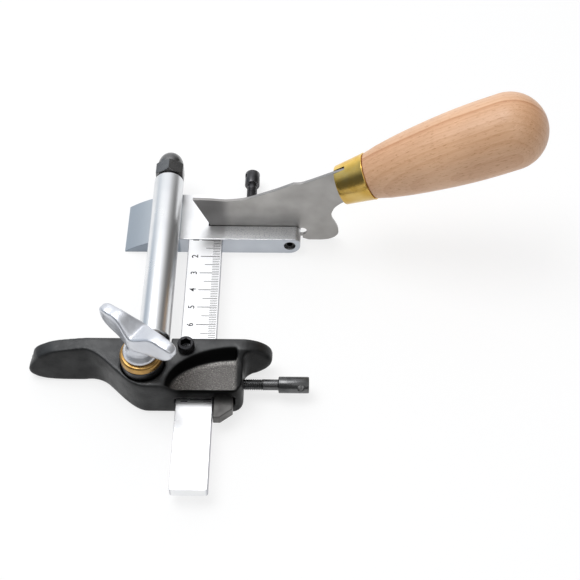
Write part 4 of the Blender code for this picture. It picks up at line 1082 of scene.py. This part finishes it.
def ringMask(tree, depth, look):
    # Repeats a profile of darkness every spacing
    count = mathNode(tree, "MULTIPLY_ADD", depth, 1 / look["spacing"], look["shift"] / look["spacing"])
    return colorBand(tree, mathNode(tree, "FRACT", count),
                     [(spot, (level,) * 3) for spot, level in look["profile"]])


def woodMaterial():
    # Growth layers stand upright along the handle, each ending in a thin darker line; short flecks between
    look = woodLook
    material, tree, shader, place = startMaterial("beechWood")
    turn = (0, -math.radians(handleLook["lean"]), 0)
    along = addNode(tree, "ShaderNodeMapping",
                    {"Vector": place, "Location": handleLook["start"], "Rotation": turn},
                    vector_type="TEXTURE").outputs[0]
    bent = mathNode(tree, "MULTIPLY_ADD", grainValue(tree, along, look["bend"]), look["sway"],
                    splitNode(tree, along, "Y"))
    flecks = grainValue(tree, along, look["flecks"])
    tone = tonePattern(tree, along, look)
    color = tone["Color"]
    for mask, shade in ((ringMask(tree, bent, look["layers"]), "ringTone"),
                        (ringMask(tree, bent, look["lines"]), "ringTone"),
                        (grainValue(tree, along, look["fibres"]), "fibreTone"), (flecks, "fleckTone")):
        color = tinted(tree, color, mask, look[shade])
    feed(tree, shader, {"Coat Weight": look["coat"], "Coat Roughness": look["coatRough"]})
    finishShader(tree, shader, color, tone["Roughness"], 0, flecks, look["depth"])
    return material


def cutSlit(item, place):
    # The slit that takes the blade's tang, across the ferrule and into the wood
    look = ferruleLook
    work = bmesh.new()
    bmesh.ops.create_cube(work, size=1)
    size = Matrix.Diagonal((2 * look["back"] * look["slitWide"], 2 * look["slitHalf"],
                            look["slitDeep"] + look["slitOver"], 1))
    place = place @ Matrix.Translation((0, 0, (look["slitDeep"] - look["slitOver"]) / 2)) @ size
    cutWith(item, putObject("slitTool", meshFrom("slitTool", work, place), finishes["ferruleBrass"]))


def slitPiece(name, node, rings, place, material, angle):
    item = putObject(name, shellMesh(name, rings, 128, place), material)
    cutSlit(item, place)
    smoothShade(item, angle)
    finishPiece(item, node)


def buildHandle(place):
    look, collar = handleLook, ferruleLook
    shoulder, belly, length = look["shoulder"], look["belly"], look["length"]
    start = collar["length"] + look["gap"]
    end = collar["length"] + length
    capStart = start + length * look["capShare"]
    inside = collar["wall"] + look["gap"]
    rings = [(look["plugStart"], 0), (look["plugStart"], collar["front"] - inside),
             (start, collar["back"] - inside), (start, shoulder - look["shoulderIn"]),
             (start + look["shoulderEdge"], shoulder - look["shoulderEdge"])]
    for i in range(1, look["swellSteps"] + 1):
        share = look["capShare"] * i / look["swellSteps"]
        swell = min(curveAt(look["swell"], share), 1)
        rings.append((start + length * share, shoulder + (belly - shoulder) * swell))
    rings += arcRings(capStart, end - capStart, 0, belly, look["capSteps"])[1:] + [(end, 0)]
    slitPiece("handleGrip", "handle", rings, place, woodMaterial(), 40)


def buildFerrule(place):
    look = ferruleLook
    front, back, wall, long = look["front"], look["back"], look["wall"], look["length"]
    lip, edge = look["lip"], look["edge"]
    rings = [(0, front - wall), (0, front - lip), (edge, front - edge), (lip, front)]
    for i in range(1, look["taperSteps"]):
        share = i / look["taperSteps"]
        rings.append((lip + (long - look["taperShort"]) * share,
                      front + (back - look["taperIn"] - front) * share))
    rings += [(long - look["bead"], back - edge), (long - lip, back), (long - edge, back - edge),
              (long, back - lip), (long, back - wall), (0, front - wall)]
    slitPiece("ferruleBand", "ferrule", rings, place, finishes["ferruleBrass"], 35)


handlePlace = (Matrix.Translation(handleLook["start"])
               @ Matrix.Rotation(math.pi / 2 - math.radians(handleLook["lean"]), 4, "Y"))
buildHandle(handlePlace)
buildFerrule(handlePlace)
print("handle and ferrule built")


# Floor, light and camera

studio = {"floor": 0.85, "floorRough": 0.9, "floorShine": 0.1, "glow": 0.66, "glowPower": 1.12, "sky": 1.06,
          "floorSize": 3, "lean": 38.0, "turn": 0.6338, "lens": 75.36, "sensor": 36,
          **metres(eye=(44.39964, -384.52021, 451.38902), nearest=10),
          "across": [(0.00, (0.34, 0.39, 0.45)), (0.12, (0.48, 0.54, 0.61)), (0.25, (0.98, 0.99, 1.00)),
                     (0.57, (0.98, 0.98, 1.00)), (0.69, (0.52, 0.52, 0.515)), (0.84, (0.09, 0.087, 0.084)),
                     (1.00, (0.32, 0.31, 0.30))],
          "depth": [(0.00, (0.18, 0.18, 0.18)), (0.32, (0.24, 0.24, 0.24)), (0.52, (1.00, 1.00, 1.00))],
          "keyLight": {"place": (-0.28, 0.12, 0.95), "size": 0.6, "power": 4.2},
          "fillLight": {"place": (0.35, -0.55, 0.75), "size": 0.7, "power": 1.2},
          "aim": (0.02, -0.03, 0.02)}


def buildFloor():
    # Glows to the camera and in reflections, and still takes the tool's shadow
    material = configured(bpy.data.materials.new("paleFloor"), use_nodes=True)
    tree = material.node_tree
    matte = tree.nodes["Principled BSDF"]
    feed(tree, matte.inputs, {"Base Color": (studio["floor"],) * 3, "Roughness": studio["floorRough"],
                              "Specular IOR Level": studio["floorShine"]})
    rays = tree.nodes.new("ShaderNodeLightPath").outputs
    seen = mathNode(tree, "MAXIMUM", rays["Is Camera Ray"], rays["Is Glossy Ray"])
    seen = mathNode(tree, "MAXIMUM", seen, rays["Is Transmission Ray"])
    glow = addNode(tree, "ShaderNodeEmission", {"Strength": studio["glowPower"]})
    mixShaders(tree, "Material Output", mathNode(tree, "MULTIPLY", seen, studio["glow"]), matte, glow)
    work = bmesh.new()
    bmesh.ops.create_grid(work, x_segments=1, y_segments=1, size=studio["floorSize"])
    floor = putObject("paleFloor", meshFrom("paleFloor", work), material)


def buildWorld():
    # Plain white to the camera. Metal sees white behind and above, grey at the sides and dark in front
    world = configured(bpy.data.worlds.new("softRoom"), use_nodes=True)
    bpy.context.scene.world = world
    tree = world.node_tree
    way = tree.nodes.new("ShaderNodeTexCoord").outputs["Generated"]
    across, depth = [colorBand(tree, rangeNode(tree, splitNode(tree, way, axis), -1, 1), studio[key])
                     for axis, key in (("X", "across"), ("Y", "depth"))]
    room = tree.nodes["Background"]
    feed(tree, room.inputs, {"Color": tinted(tree, across, 1, depth), "Strength": studio["sky"]})
    plain = addNode(tree, "ShaderNodeBackground", {"Color": white})
    seen = tree.nodes.new("ShaderNodeLightPath").outputs["Is Camera Ray"]
    mixShaders(tree, "World Output", seen, room, plain)


def buildLamp(name):
    look = studio[name]
    lamp = configured(bpy.data.lights.new(name, "AREA"), shape="SQUARE", size=look["size"],
                      energy=look["power"])
    way = Vector(studio["aim"]) - Vector(look["place"])
    addObject(name, lamp, look["place"], way.to_track_quat("-Z", "Y").to_euler())


def buildCamera():
    eye = configured(bpy.data.cameras.new("photoEye"), lens=studio["lens"], sensor_width=studio["sensor"],
                     clip_start=studio["nearest"])
    turn = (math.radians(studio["lean"]), 0, math.radians(studio["turn"]))
    bpy.context.scene.camera = addObject("photoEye", eye, studio["eye"], turn)


buildFloor()
buildWorld()
buildLamp("keyLight")
buildLamp("fillLight")
buildCamera()
bpy.context.scene.view_settings.view_transform = "Standard"

print("scene ready")
